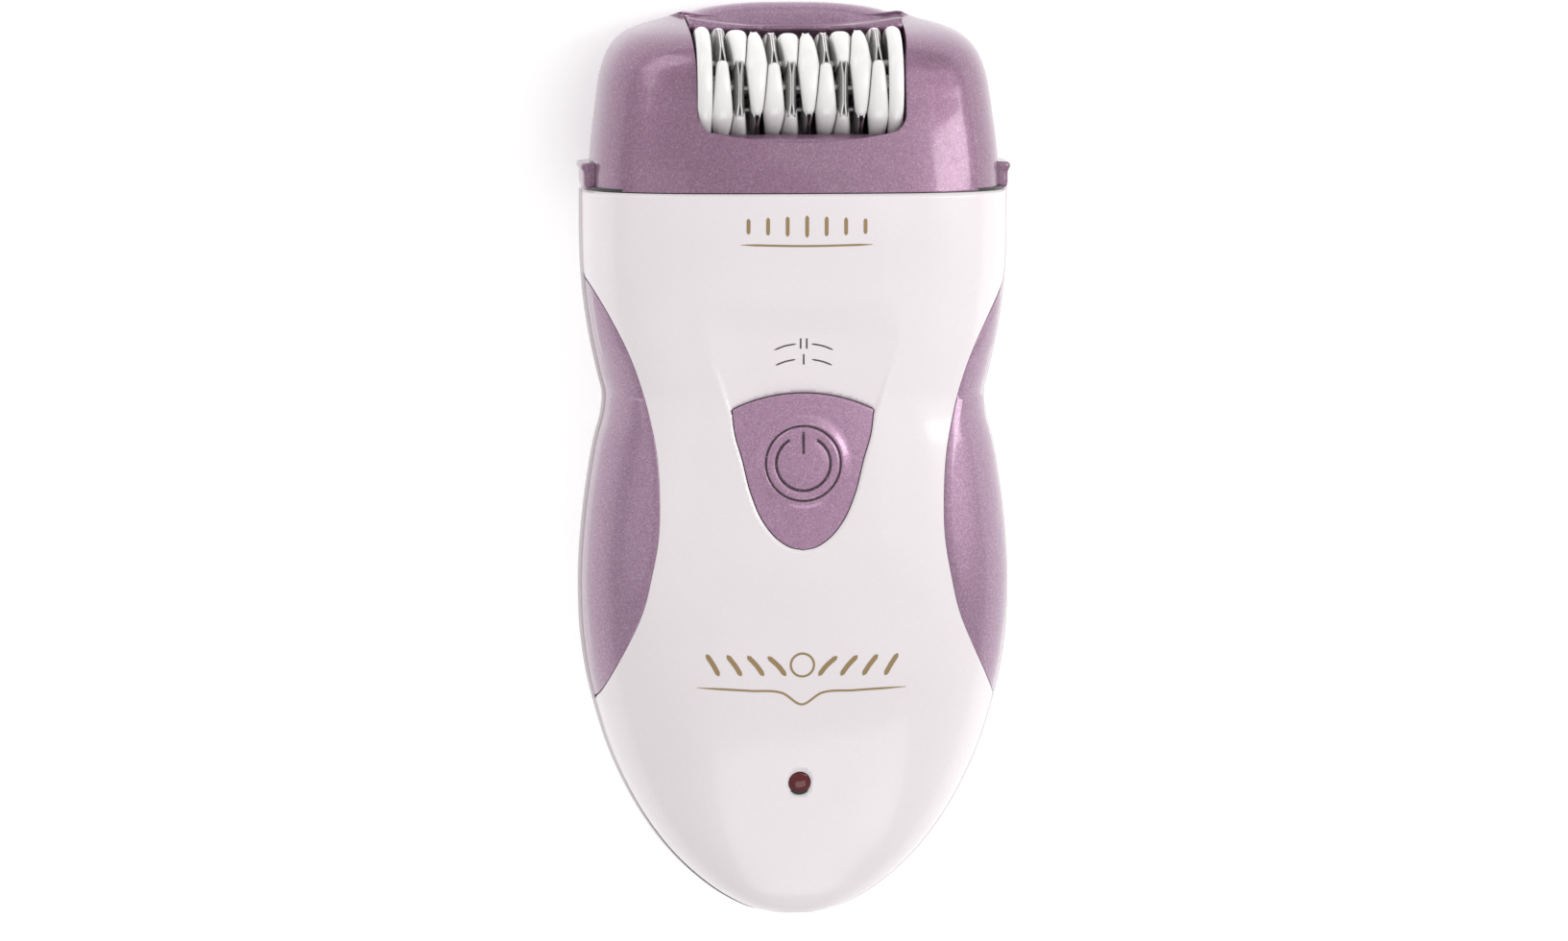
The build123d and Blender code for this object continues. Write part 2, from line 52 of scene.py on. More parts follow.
def meshPiece(name, verts, faces, body, material, replaced=(), slotName=None, smooth=True, weld=None,
              outward=True):
    # verts in millimetres times 0.001, faces as rows of corner numbers; weld merges doubles closer than that
    mesh = bpy.data.meshes.new(name)
    verts = np.asarray(verts, dtype=np.float64).reshape(-1, 3) * mm
    faces = faces if isinstance(faces, list) else faces.tolist()
    mesh.from_pydata(verts.tolist(), [], faces)
    mesh.validate()
    mesh.polygons.foreach_set("use_smooth", np.full(len(mesh.polygons), smooth))
    mesh.materials.append(material)
    obj = bpy.data.objects.new(name, mesh)
    bpy.context.scene.collection.objects.link(obj)
    if replaced:
        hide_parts(*replaced)
    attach(obj, body)
    if weld:
        weldMesh(obj, weld, outward)
    return obj


def weldMesh(obj, distance, outward):
    # merges doubles and, if asked, points the faces outwards
    work = bmesh.new()
    work.from_mesh(obj.data)
    bmesh.ops.remove_doubles(work, verts=work.verts, dist=distance)
    if outward:
        bmesh.ops.recalc_face_normals(work, faces=work.faces)
    work.to_mesh(obj.data)
    work.free()


def gridFaces(rows, cols, keep=None, wrapCols=False, flip=False):
    # quads of a rows by cols grid, point number = row * cols + col; keep drops faces where it is False
    colCount = cols if wrapCols else cols - 1
    i, j = np.meshgrid(np.arange(rows - 1), np.arange(colCount), indexing="ij")
    ahead = (j + 1) % cols
    quads = np.stack([i * cols + j, i * cols + ahead, (i + 1) * cols + ahead, (i + 1) * cols + j], axis=-1)
    if keep is not None:
        quads = quads[keep[:rows - 1, :colCount]]
    quads = quads.reshape(-1, 4)
    return quads[:, ::-1] if flip else quads


def joinParts(parts):
    # stacks (verts, faces) pairs into one pair
    verts = []
    faces = []
    start = 0
    for partVerts, partFaces in parts:
        partVerts = np.asarray(partVerts).reshape(-1, 3)
        verts.append(partVerts)
        faces.extend((np.asarray(partFaces) + start).tolist())
        start += len(partVerts)
    return np.concatenate(verts), faces


def addModifier(obj, kind, **values):
    # a modifier named after its kind, with the given settings
    mod = obj.modifiers.new(kind.lower(), kind)
    for key, value in values.items():
        setattr(mod, key, value)


def widen(values, like):
    # one value per row, repeated across the columns of another grid
    return np.repeat(values[:, None], like.shape[1], axis=1)


def unit(vectors):
    # each vector over its length
    return vectors / (np.linalg.norm(vectors, axis=-1)[..., None] + tiny)


def pathLength(path):
    # distance travelled from the first point of a path in plan to each of its points
    return np.concatenate([[0], np.cumsum(np.hypot(*np.diff(path, axis=0).T))])


def mirrored(values, sign=1):
    # a half profile that ends in the middle, and its other half with the given sign
    return np.concatenate([values, sign * values[-2::-1]])


def smoothStep(low, high, value):
    # 0 below low, 1 above high, an S curve between
    part = np.clip((value - low) / (high - low), 0, 1)
    return part * part * (3 - 2 * part)


def hermite(knots, values, at):
    # cubic through (knots, values) with the slope at a knot taken from its neighbours
    knots = np.asarray(knots, float)
    values = np.asarray(values, float)
    step = np.diff(knots)
    rise = np.diff(values, axis=0) / (step[:, None] if values.ndim > 1 else step)
    slope = np.empty_like(values)
    slope[0] = rise[0]
    slope[-1] = rise[-1]
    weight = step[:-1] / (step[:-1] + step[1:])
    weight = weight[:, None] if values.ndim > 1 else weight
    slope[1:-1] = rise[:-1] * (1 - weight) + rise[1:] * weight
    k = np.clip(np.searchsorted(knots, at) - 1, 0, len(knots) - 2)
    h = step[k]
    t = np.clip((at - knots[k]) / h, 0, 1)
    if values.ndim > 1:
        t = t[:, None]
        h = h[:, None]
    a = (1 + 2 * t) * (1 - t) ** 2
    b = t * (1 - t) ** 2 * h
    c = t * t * (3 - 2 * t)
    d = t * t * (t - 1) * h
    return a * values[k] + b * slope[k] + c * values[k + 1] + d * slope[k + 1]


def squareCurve(square):
    # the quarter of a cross-section: a cubic Bezier from the side (1, 0) to the middle (0, 1)
    t = np.linspace(0, 1, 801)
    x = (1 - t) ** 3 + 3 * (1 - t) ** 2 * t + 3 * (1 - t) * t * t * square
    z = 3 * (1 - t) ** 2 * t * square + 3 * (1 - t) * t * t + t ** 3
    return t, x, z


def curveZ(square, x):
    # height of the quarter at a share of the half width
    t, xs, zs = squareCurve(square)
    return np.interp(np.clip(np.abs(x), 0, 1), xs[::-1], zs[::-1])


def curveT(square, x):
    # the curve's parameter at a share of the half width
    t, xs, zs = squareCurve(square)
    return np.interp(np.clip(np.abs(x), 0, 1), xs[::-1], t[::-1])


def outlineDistance(x, y, outline):
    # signed distance from points to a closed outline, negative inside, with the nearest point
    ax, ay = outline[:-1, 0], outline[:-1, 1]
    bx, by = outline[1:, 0], outline[1:, 1]
    px = x.ravel()[:, None]
    py = y.ravel()[:, None]
    dx, dy = bx - ax, by - ay
    t = np.clip(((px - ax) * dx + (py - ay) * dy) / (dx * dx + dy * dy + 1e-12), 0, 1)
    nx, ny = ax + t * dx, ay + t * dy
    dist2 = (px - nx) ** 2 + (py - ny) ** 2
    best = dist2.argmin(axis=1)
    pick = np.arange(len(best))
    crosses = ((ay > py) != (by > py)) & (px < (bx - ax) * (py - ay) / (by - ay + 1e-12) + ax)
    inside = crosses.sum(axis=1) % 2 == 1
    dist = np.sqrt(dist2[pick, best]) * np.where(inside, -1, 1)
    shape = x.shape
    return dist.reshape(shape), nx[pick, best].reshape(shape), ny[pick, best].reshape(shape)


def snapToOutline(x, y, outline, reach):
    # moves the grid points on both sides of an outline onto it, so that a wall there is crisp
    margin = 2
    near = (x > outline[:, 0].min() - margin) & (x < outline[:, 0].max() + margin)
    near &= (y > outline[:, 1].min() - margin) & (y < outline[:, 1].max() + margin)
    dist = np.full(x.shape, np.inf)
    footX = x.copy()
    footY = y.copy()
    dist[near], footX[near], footY[near] = outlineDistance(x[near], y[near], outline)
    inside = dist < 0
    edge = np.zeros(x.shape, bool)
    for rowStep, colStep in ((0, 1), (1, 0), (1, 1), (1, -1)):
        shifted = np.roll(inside, (rowStep, colStep), axis=(0, 1))
        differs = inside != shifted
        edge |= differs
        edge |= np.roll(differs, (-rowStep, -colStep), axis=(0, 1))
    edge &= np.abs(dist) < reach
    return np.where(edge, footX, x), np.where(edge, footY, y), inside


# ---- shader groups and materials

def newGroup(name, inputs, outputs):
    # an empty shader group with its sockets
    group = bpy.data.node_groups.new(name, "ShaderNodeTree")
    for label, kind, value in inputs:
        socket = group.interface.new_socket(name=label, in_out="INPUT", socket_type=kind)
        socket.default_value = value
    for label, kind in outputs:
        group.interface.new_socket(name=label, in_out="OUTPUT", socket_type=kind)
    return group, group.nodes.new("NodeGroupInput"), group.nodes.new("NodeGroupOutput")


def node(tree, kind, links=(), **values):
    # a node with its settings, or else its input values, and (source, socket) links into it
    made = tree.nodes.new(kind)
    for key, value in values.items():
        if hasattr(made, key):
            setattr(made, key, value)
        else:
            made.inputs[key.replace("_", " ")].default_value = value
    for source, socket in links:
        tree.links.new(source, made.inputs[socket])
    return made


def rangeOf(tree, value, low, high, fromLow=0.0, fromHigh=1.0):
    # low + (high - low) * the value's share of its own range, held inside it
    made = node(tree, "ShaderNodeMapRange", [(value, "Value")],
                From_Min=fromLow, From_Max=fromHigh, To_Min=low, To_Max=high)
    return made.outputs["Result"]


# cells, clouds and scales are per metre
flake = {"cells": 5600.0, "clouds": 90.0, "glint": (0.86, 1.0)}


def buildFlakeGroup():
    # metallic flakes: one random value per tiny cell, and slow clouds of flake density
    group, given, out = newGroup(
        "flakeField",
        [("Cells", "NodeSocketFloat", flake["cells"]), ("Clouds", "NodeSocketFloat", flake["clouds"])],
        [("Flake", "NodeSocketFloat"), ("Glint", "NodeSocketFloat"), ("Cloud", "NodeSocketFloat")],
    )
    coord = node(group, "ShaderNodeTexCoord")
    cells = node(group, "ShaderNodeTexVoronoi", [(coord.outputs["Object"], "Vector"),
                                                 (given.outputs["Cells"], "Scale")])
    parts = node(group, "ShaderNodeSeparateColor", [(cells.outputs["Color"], "Color")])
    glint = rangeOf(group, parts.outputs["Green"], 0.0, 1.0, *flake["glint"])
    cloud = node(group, "ShaderNodeTexNoise", [(coord.outputs["Object"], "Vector"),
                                               (given.outputs["Clouds"], "Scale")], Detail=3.0)
    group.links.new(parts.outputs["Red"], out.inputs["Flake"])
    group.links.new(glint, out.inputs["Glint"])
    group.links.new(cloud.outputs["Fac"], out.inputs["Cloud"])
    return group


moulding = {"fine": 2500.0, "broad": 60.0, "marks": 850.0, "peaks": (0.56, 0.70), "zones": (0.45, 0.70),
            "wear": 0.15}


def buildGrainGroup():
    # moulded plastic: fine grain for the bump, and broad soft unevenness for colour and gloss
    group, given, out = newGroup(
        "mouldGrain",
        [("Fine", "NodeSocketFloat", moulding["fine"]), ("Broad", "NodeSocketFloat", moulding["broad"])],
        [("Height", "NodeSocketFloat"), ("Patch", "NodeSocketFloat"), ("Scuff", "NodeSocketFloat")],
    )
    coord = node(group, "ShaderNodeTexCoord")
    fine = node(group, "ShaderNodeTexNoise", [(coord.outputs["Object"], "Vector"),
                                              (given.outputs["Fine"], "Scale")], Detail=4.0)
    broad = node(group, "ShaderNodeTexNoise", [(coord.outputs["Object"], "Vector"),
                                               (given.outputs["Broad"], "Scale")], Detail=2.0)
    # scuffs: small marks where a finer noise peaks, only inside the broad one's high places
    marks = node(group, "ShaderNodeTexNoise", [(coord.outputs["Object"], "Vector")],
                 Scale=moulding["marks"], Detail=5.0)
    peaks = rangeOf(group, marks.outputs["Fac"], 0.0, 1.0, *moulding["peaks"])
    zones = rangeOf(group, broad.outputs["Fac"], 0.0, 1.0, *moulding["zones"])
    scuff = node(group, "ShaderNodeMath", [(peaks, 0), (zones, 1)], operation="MULTIPLY")
    group.links.new(fine.outputs["Fac"], out.inputs["Height"])
    group.links.new(broad.outputs["Fac"], out.inputs["Patch"])
    group.links.new(scuff.outputs["Value"], out.inputs["Scuff"])
    return group


flakeGroup = buildFlakeGroup()
grainGroup = buildGrainGroup()


def newMaterial(name):
    # a material with its tree and its Principled shader
    material = bpy.data.materials.new(name)
    material.use_nodes = True
    tree = material.node_tree
    return material, tree, tree.nodes["Principled BSDF"]


def placeGroup(tree, group, **values):
    # one use of a shader group
    made = tree.nodes.new("ShaderNodeGroup")
    made.node_tree = group
    for key, value in values.items():
        made.inputs[key].default_value = value
    return made


def colourRamp(tree, factor, stops):
    # colours at places from 0 to 1, blended evenly between
    ramp = tree.nodes.new("ShaderNodeValToRGB")
    while len(ramp.color_ramp.elements) < len(stops):
        ramp.color_ramp.elements.new(0.5)
    for element, (place, colour) in zip(ramp.color_ramp.elements, stops):
        element.position = place
        element.color = (*colour, 1)
    tree.links.new(factor, ramp.inputs["Fac"])
    return ramp.outputs["Color"]


def mixColour(tree, factor, first, second):
    # first + (second - first) * factor
    mix = tree.nodes.new("ShaderNodeMix")
    mix.data_type = "RGBA"
    tree.links.new(factor, mix.inputs["Factor"])
    for value, label in ((first, "A"), (second, "B")):
        if isinstance(value, tuple):
            mix.inputs[label].default_value = (*value, 1)
        else:
            tree.links.new(value, mix.inputs[label])
    return mix.outputs["Result"]


def wornRoughness(tree, shader, gloss, scuff):
    # handling wear dulls the finish where the scuffs are: roughness = gloss + 0.15 * scuff
    extra = rangeOf(tree, scuff, 0.0, moulding["wear"])
    worn = node(tree, "ShaderNodeMath", [(gloss, 0), (extra, 1)], operation="ADD")
    tree.links.new(worn.outputs["Value"], shader.inputs["Roughness"])


def bumpInto(tree, shader, height, strength, distance):
    # the height pushed out along the normal by at most the distance, in metres
    bump = node(tree, "ShaderNodeBump", [(height, "Height")], Strength=strength, Distance=distance)
    tree.links.new(bump.outputs["Normal"], shader.inputs["Normal"])


mauve = {
    "dark": (0.240, 0.140, 0.215),
    "mid": (0.312, 0.184, 0.278),
    "light": (0.405, 0.262, 0.368),
    "metallic": 0.55,
    "glint": (0.55, 0.43, 0.53),
    "glintShare": 0.30,
    "stops": (0.0, 0.30, 0.72, 1.0),
    "roughness": (0.30, 0.44),
    "bump": (0.10, 0.00003),
    "coat": 0.75,
    "coatRoughness": 0.09,
}


def mauveLacquer(name="mauveLacquer", tint=(1.0, 1.0, 1.0)):
    # flakes of three tones under a clear coat
    material, tree, shader = newMaterial(name)
    flakes = placeGroup(tree, flakeGroup)
    tones = [tuple(channel * part for channel, part in zip(mauve[key], tint))
             for key in ("dark", "mid", "mid", "light")]
    base = colourRamp(tree, flakes.outputs["Flake"], list(zip(mauve["stops"], tones)))
    glint = rangeOf(tree, flakes.outputs["Glint"], 0.0, mauve["glintShare"])
    tree.links.new(mixColour(tree, glint, base, mauve["glint"]), shader.inputs["Base Color"])
    grain = placeGroup(tree, grainGroup)
    gloss = rangeOf(tree, flakes.outputs["Cloud"], *mauve["roughness"])
    wornRoughness(tree, shader, gloss, grain.outputs["Scuff"])
    bumpInto(tree, shader, flakes.outputs["Flake"], *mauve["bump"])
    shader.inputs["Metallic"].default_value = mauve["metallic"]
    shader.inputs["Coat Weight"].default_value = mauve["coat"]
    shader.inputs["Coat Roughness"].default_value = mauve["coatRoughness"]
    return material


pearl = {
    "light": (0.775, 0.725, 0.742),
    "shade": (0.745, 0.690, 0.712),
    "patchRange": (0.15, 0.85),
    "glint": (0.92, 0.89, 0.91),
    "glintShare": 0.18,
    "cells": 5200.0,
    "roughness": (0.24, 0.34),
    "bump": (0.03, 0.00003),
    "coat": 0.5,
    "coatRoughness": 0.10,
}


def pearlShellMaterial():
    # pearl white: a whisper of pink in patches, a fine flake and a clear coat
    material, tree, shader = newMaterial("pearlShell")
    grain = placeGroup(tree, grainGroup)
    flakes = placeGroup(tree, flakeGroup, Cells=pearl["cells"])
    patch = rangeOf(tree, grain.outputs["Patch"], 0.0, 1.0, *pearl["patchRange"])
    base = mixColour(tree, patch, pearl["light"], pearl["shade"])
    glint = rangeOf(tree, flakes.outputs["Glint"], 0.0, pearl["glintShare"])
    tree.links.new(mixColour(tree, glint, base, pearl["glint"]), shader.inputs["Base Color"])
    gloss = rangeOf(tree, grain.outputs["Patch"], *pearl["roughness"])
    wornRoughness(tree, shader, gloss, grain.outputs["Scuff"])
    bumpInto(tree, shader, grain.outputs["Height"], *pearl["bump"])
    shader.inputs["Coat Weight"].default_value = pearl["coat"]
    shader.inputs["Coat Roughness"].default_value = pearl["coatRoughness"]
    return material


# share of the grain's values in use, share of the roughness either way, and metres of bump
plain = {"useful": (0.3, 0.7), "glossSpread": 0.15, "bumpDistance": 0.00005}


def plainPlastic(name, colour, roughness=0.35, coat=0.0, spread=0.10, metallic=0.0, fine=moulding["fine"],
                 bump=0.05):
    # one moulded or metal finish: colour down to colour * (1 - spread), roughness within 15%, fine grain
    material, tree, shader = newMaterial(name)
    grain = placeGroup(tree, grainGroup, Fine=fine)
    darker = tuple(channel * (1 - spread) for channel in colour)
    patch = rangeOf(tree, grain.outputs["Patch"], 0.0, 1.0, *plain["useful"])
    tree.links.new(mixColour(tree, patch, colour, darker), shader.inputs["Base Color"])
    ends = [roughness * (1 + sign * plain["glossSpread"]) for sign in (-1, 1)]
    gloss = rangeOf(tree, grain.outputs["Height"], *ends, *plain["useful"])
    wornRoughness(tree, shader, gloss, grain.outputs["Scuff"])
    bumpInto(tree, shader, grain.outputs["Height"], bump, plain["bumpDistance"])
    shader.inputs["Metallic"].default_value = metallic
    shader.inputs["Coat Weight"].default_value = coat
    return material


pearlShell = pearlShellMaterial()
mauvePaint = mauveLacquer()
mauveDeep = mauveLacquer("mauveDeep", (0.70, 0.64, 0.68))
# painted shade: the grips' lacquer made darker for the head casing, standing in for the shade it sits in
mauveCaseShaded = mauveLacquer("mauveCaseShaded", (0.80, 0.71, 0.76))
# painted light: the lacquer made lighter for the slider, standing in for the light its face catches
mauveSliderLit = mauveLacquer("mauveSliderLit", (1.22, 1.17, 1.20))
# painted shade: a near-black copy of the lacquer for the floors of the slider symbol's grooves
mauveGrooveShade = mauveLacquer("mauveGrooveShade", (0.16, 0.14, 0.15))
mauveBed = mauveLacquer("mauveBed", (0.85, 0.80, 0.83))
drumWhite = plainPlastic("drumWhite", (0.82, 0.81, 0.80), 0.20, coat=0.5, spread=0.04)
bladeSteel = plainPlastic("bladeSteel", (0.74, 0.73, 0.72), 0.30, metallic=1.0, fine=9000.0)
shaftSteel = plainPlastic("shaftSteel", (0.50, 0.50, 0.51), 0.32, metallic=1.0, fine=6000.0)
darkInk = plainPlastic("darkInk", (0.06, 0.05, 0.06), 0.5)
goldInk = plainPlastic("goldInk", (0.34, 0.235, 0.115), 0.38, metallic=0.35)
innerPlastic = plainPlastic("innerPlastic", (0.55, 0.55, 0.53), 0.45)
gearPlastic = plainPlastic("gearPlastic", (0.78, 0.78, 0.73), 0.38)
# black plastic for the black parts, and painted shade for the dark strips sunk in gaps and openings
blackPartAndGapShade = plainPlastic("blackPartAndGapShade", (0.022, 0.022, 0.024), 0.42)
boardGreen = plainPlastic("boardGreen", (0.02, 0.15, 0.06), coat=0.4)
cellWrap = plainPlastic("cellWrap", (0.04, 0.22, 0.12), 0.28, coat=0.5)
brass = plainPlastic("brass", (0.75, 0.56, 0.27), 0.25, metallic=1.0)
lampRed = plainPlastic("lampRed", (0.115, 0.003, 0.007), 0.10, spread=0.3)

slotFinish = {
    "pearl_shell": pearlShell,
    "mauve_paint": mauvePaint,
    "dark_ink": darkInk,
    "gold_ink": goldInk,
    "red_lens": lampRed,
    "circuit_green": boardGreen,
    "black_part": blackPartAndGapShade,
    "cell_wrap": cellWrap,
    "inner_plastic": innerPlastic,
    "spring_steel": shaftSteel,
    "motor_steel": shaftSteel,
    "socket_brass": brass,
    "gear_plastic": gearPlastic,
    "tweezer_steel": bladeSteel,
    "drum_white": drumWhite,
}
for entry in frame["record"]["subparts"]:
    cadNode = frame["nodes"][entry["node"]]
    for slotOfNode in cadNode.material_slots:
        slotOfNode.material = slotFinish[entry["material_slot"]]
print("materials made")


# ---- the handle's form

handle = {
    "split": 15.5,
    "frontSquare": 0.78,
    "backSquare": 0.90,
    "lip": 0.45,  # the rear housing stands this far outside the front one
    "band": 0.46,  # share of the front's half width with evenly spaced columns
    "edgeRound": 0.12,
    "edgeWall": 1.1,
    "snap": 0.62,
    "screws": ((29.4, 37.5), (-29.4, 37.5), (17.2, -50.0), (-17.2, -50.0)),
    "screwHole": (2.05, 7.9),  # radius and floor
    "mouth": (2.86, -75.0, 4.0),  # the socket's hole: radius, place along the handle, depth
    "neck": (0.93, 0.92),  # the head end turns in to these shares of its width and height
    # along the handle, half width, front height, back height
    "rows": np.array([
        (44.8, 35.4, 37.2, 2.0), (39.5, 35.4, 37.1, 1.1), (33.0, 35.25, 36.8, 0.1),
        (27.0, 34.75, 36.6, -0.4), (20.0, 33.65, 36.5, -0.6), (14.0, 32.3, 36.5, -0.6),
        (11.3, 31.65, 36.5, -0.6), (8.3, 31.85, 36.5, -0.6), (3.5, 33.05, 36.5, -0.6),
        (-2.5, 34.1, 36.5, -0.6), (-9.0, 34.95, 36.5, -0.6), (-15.0, 35.45, 36.45, -0.6),
        (-21.5, 35.6, 36.15, -0.6), (-28.0, 35.3, 35.5, -0.6), (-34.5, 34.4, 34.6, -0.5),
        (-41.0, 32.8, 33.0, -0.3), (-47.0, 30.9, 31.1, 0.7), (-53.0, 28.3, 28.9, 2.0),
        (-59.0, 24.9, 26.6, 3.9), (-65.0, 20.3, 24.1, 6.2), (-69.0, 16.1, 22.3, 8.0),
        (-72.2, 11.6, 20.8, 9.8), (-74.2, 7.4, 19.5, 11.4), (-75.0, 4.2, 18.7, 12.3),
    ]),
}

rowPath = pathLength(handle["rows"][:, :2])


def handleRows(path):
    # along, half width, front and back heights at places on the outline's path
    return hermite(rowPath, handle["rows"], path).T


pathFine = np.linspace(0, rowPath[-1], 4000)
alongFine, halfFine, frontFine = handleRows(pathFine)[:3]


def atAlong(y, values):
    # a fine value of the outline at a place along the handle
    return np.interp(y, alongFine[::-1], values[::-1])


def frontZ(x, y):
    # height of the front housing at a point in plan
    half = atAlong(y, halfFine) - handle["lip"]
    front = atAlong(y, frontFine)
    split = handle["split"]
    return split + (front - split) * curveZ(handle["frontSquare"], x / half)


grip = {
    "gap": 0.22,
    "lift": 0.38,
    # where the raised lens rises: in from the seam, below the waist, and its fade towards the tip
    "lensIn": (0.60, 0.80),
    "lensTop": (11.15, 10.75),
    "lensFade": (18, 34),
    # the weaker rise above the waist
    "upperIn": (0.5, 0.9),
    "upperTop": (17.0, 20.0),
    "upperShare": 0.6,
    "innerFade": (-0.5, 1.1),
    "edge": np.array([(30.6, 34.9), (24.1, 31.2), (17.5, 28.0), (12.0, 26.1), (7.2, 24.9), (3.1, 24.1),
                      (-5.5, 23.5), (-11.9, 23.7), (-17.8, 24.7), (-24.7, 26.4), (-29.6, 28.5),
                      (-34.1, 30.7), (-39.0, 33.1)]),
}
gripTop = grip["edge"][0, 0]
gripFoot = grip["edge"][-1, 0]


def gripEdge(y):
    # half width of the front housing between the grips
    return hermite(-grip["edge"][:, 0], grip["edge"][:, 1], -y)


def pathAt(y):
    # how far along the outline's path a station lies
    return np.interp(-y, -alongFine, pathFine)


def densePath(dense, coarse, low, high):
    # places along the outline, closer together between two stations
    start, stop = pathAt(high), pathAt(low)
    return np.unique(np.concatenate([
        np.linspace(0, start, max(3, int(start / coarse))),
        np.linspace(start, stop, int((stop - start) / dense)),
        np.linspace(stop, rowPath[-1], int((rowPath[-1] - stop) / coarse)),
    ]))


def roundedEdge(edge, outward, normal):
    # rings past an edge: a quarter round at 30, 60 and 90 degrees, then a wall straight down
    radius = handle["edgeRound"]
    turns = np.radians((30, 60, 90))
    rings = [edge + outward * radius * math.sin(a) - normal * radius * (1 - math.cos(a)) for a in turns]
    return rings + [rings[-1] - normal * handle["edgeWall"]]


def neckRing(head):
    # the head end's last row, drawn in towards the middle of the split
    width, height = handle["neck"]
    inward = head.copy()
    inward[:, 0] *= width
    inward[:, 2] = handle["split"] + (inward[:, 2] - handle["split"]) * height
    return inward + [0, 0.02, 0]


def socketMouth(tip, limit):
    # the tip's last row carried onto the socket's hole and into it, kept to its own side of the split
    radius, y, depth = handle["mouth"]
    angle = np.arctan2(tip[:, 2] - handle["split"], tip[:, 0])
    mouth = np.stack([radius * np.cos(angle), np.full(len(tip), y),
                      handle["split"] + limit(radius * np.sin(angle), 0)], axis=1)
    return np.stack([mouth, mouth + [0, depth, 0]])


# ---- slider outline and thumb path

slider = {
    "arch": 12.1,
    "side": np.array([(11.6, 9.4), (11.1, 5.4), (9.95, 1.4), (8.4, -4.6), (6.5, -8.9), (4.2, -11.7),
                      (2.0, -13.1), (0.0, -13.5)]),
    "gap": 0.16,
    "floor": 35.6,
    "pocketFloor": 35.5,
    "underside": 35.66,
    "top": 36.75,
    "crown": (95.0, 0.0011, 2),  # radius across, and fall with the square of the distance from a place along
    "bossY": 0.65,
    "gapTurn": 0.50,
    # radius in the boss, height above the slider's face
    "boss": np.array([(0.0, 0.56), (1.0, 0.56), (2.0, 0.55), (3.0, 0.53), (4.10, 0.50), (4.20, 0.46),
                      (4.24, 0.20), (4.66, 0.20), (4.70, 0.46), (4.80, 0.50), (5.6, 0.52), (5.94, 0.48),
                      (5.98, 0.12), (6.14, 0.10), (6.30, 0.12), (6.34, 0.40), (6.5, 0.44), (6.7, 0.41),
                      (7.0, 0.30), (7.3, 0.17), (7.7, 0.05), (8.1, 0.0)]),
    # inner and outer radius, half the open angle, and height of each groove's floor of painted shade
    "grooves": ((4.25, 4.65, 0.54, 0.215), (5.99, 6.29, 0.0, 0.13)),
    "bar": (0.22, 1.6, 5.2, 0.575),  # half width, foot, top, height
    # distance in from the outline, and drop, down the rounded rim
    "rim": ((0.22, 0.0), (0.10, 0.03), (0.03, 0.10), (0.0, 0.22)),
}


def shieldOutline(grow=0.0, steps=160):
    # arched top and sides that draw in to a round tip, closed and anticlockwise from the right corner
    side = slider["side"]
    step = pathLength(side)
    right = hermite(step, side, np.linspace(0, step[-1], steps))
    cornerX, cornerY = side[0]
    rise = slider["arch"] - cornerY
    radius = (cornerX ** 2 + rise ** 2) / (2 * rise)
    reach = math.asin(cornerX / radius)
    turn = np.linspace(-reach, reach, steps)
    arch = np.stack([radius * np.sin(turn), slider["arch"] - radius + radius * np.cos(turn)], axis=1)
    left = right * np.array([-1, 1])
    loop = np.concatenate([arch[:-1], right[:-1], left[::-1][:-1]])[::-1]
    ahead = np.roll(loop, -2, axis=0) - np.roll(loop, 2, axis=0)
    loop = loop + unit(np.stack([ahead[:, 1], -ahead[:, 0]], axis=1)) * grow
    return np.concatenate([loop, loop[:1]])


def circleOutline(x, y, radius, steps=72):
    # a closed circle of points round a centre
    turn = np.linspace(0, 2 * math.pi, steps + 1)
    return np.stack([x + radius * np.cos(turn), y + radius * np.sin(turn)], axis=1)


# each pair is half width and place along; the ramp, side softness and span run along the handle
thumbPath = {"foot": (11.75, 9.0), "flare": (15.0, 19.3), "ramp": (20.6, 28.0), "soften": (14.0, 23.0),
             "soft": (0.35, 6.0), "reach": 24, "span": (5, 29)}


def thumbDepth(x, y, surface):
    # the path above the slider: a level floor that flares and rises to the surface at its head end
    footX, footY = thumbPath["foot"]
    flareX, flareY = thumbPath["flare"]
    side = footX + (flareX - footX) * (y - footY) / (flareY - footY)
    side = np.minimum(side, flareX + 0.4)
    crisp, more = thumbPath["soft"]
    soft = crisp + more * smoothStep(*thumbPath["soften"], y)
    inside = 1 - smoothStep(-0.25, 1.0, (np.abs(x) - side) / soft)
    inside = inside * smoothStep(footY - 0.4, footY + 0.1, y)
    fade = 1 - smoothStep(*thumbPath["ramp"], y)
    level = np.minimum(surface, slider["floor"] + (surface - slider["floor"]) * (1 - fade))
    return surface - (surface - level) * inside


lamp = {"y": -52.5, "radius": 1.75, "gap": 0.13, "holeFloor": 26.0, "dome": (-0.22, 0.55), "wall": 2.0}


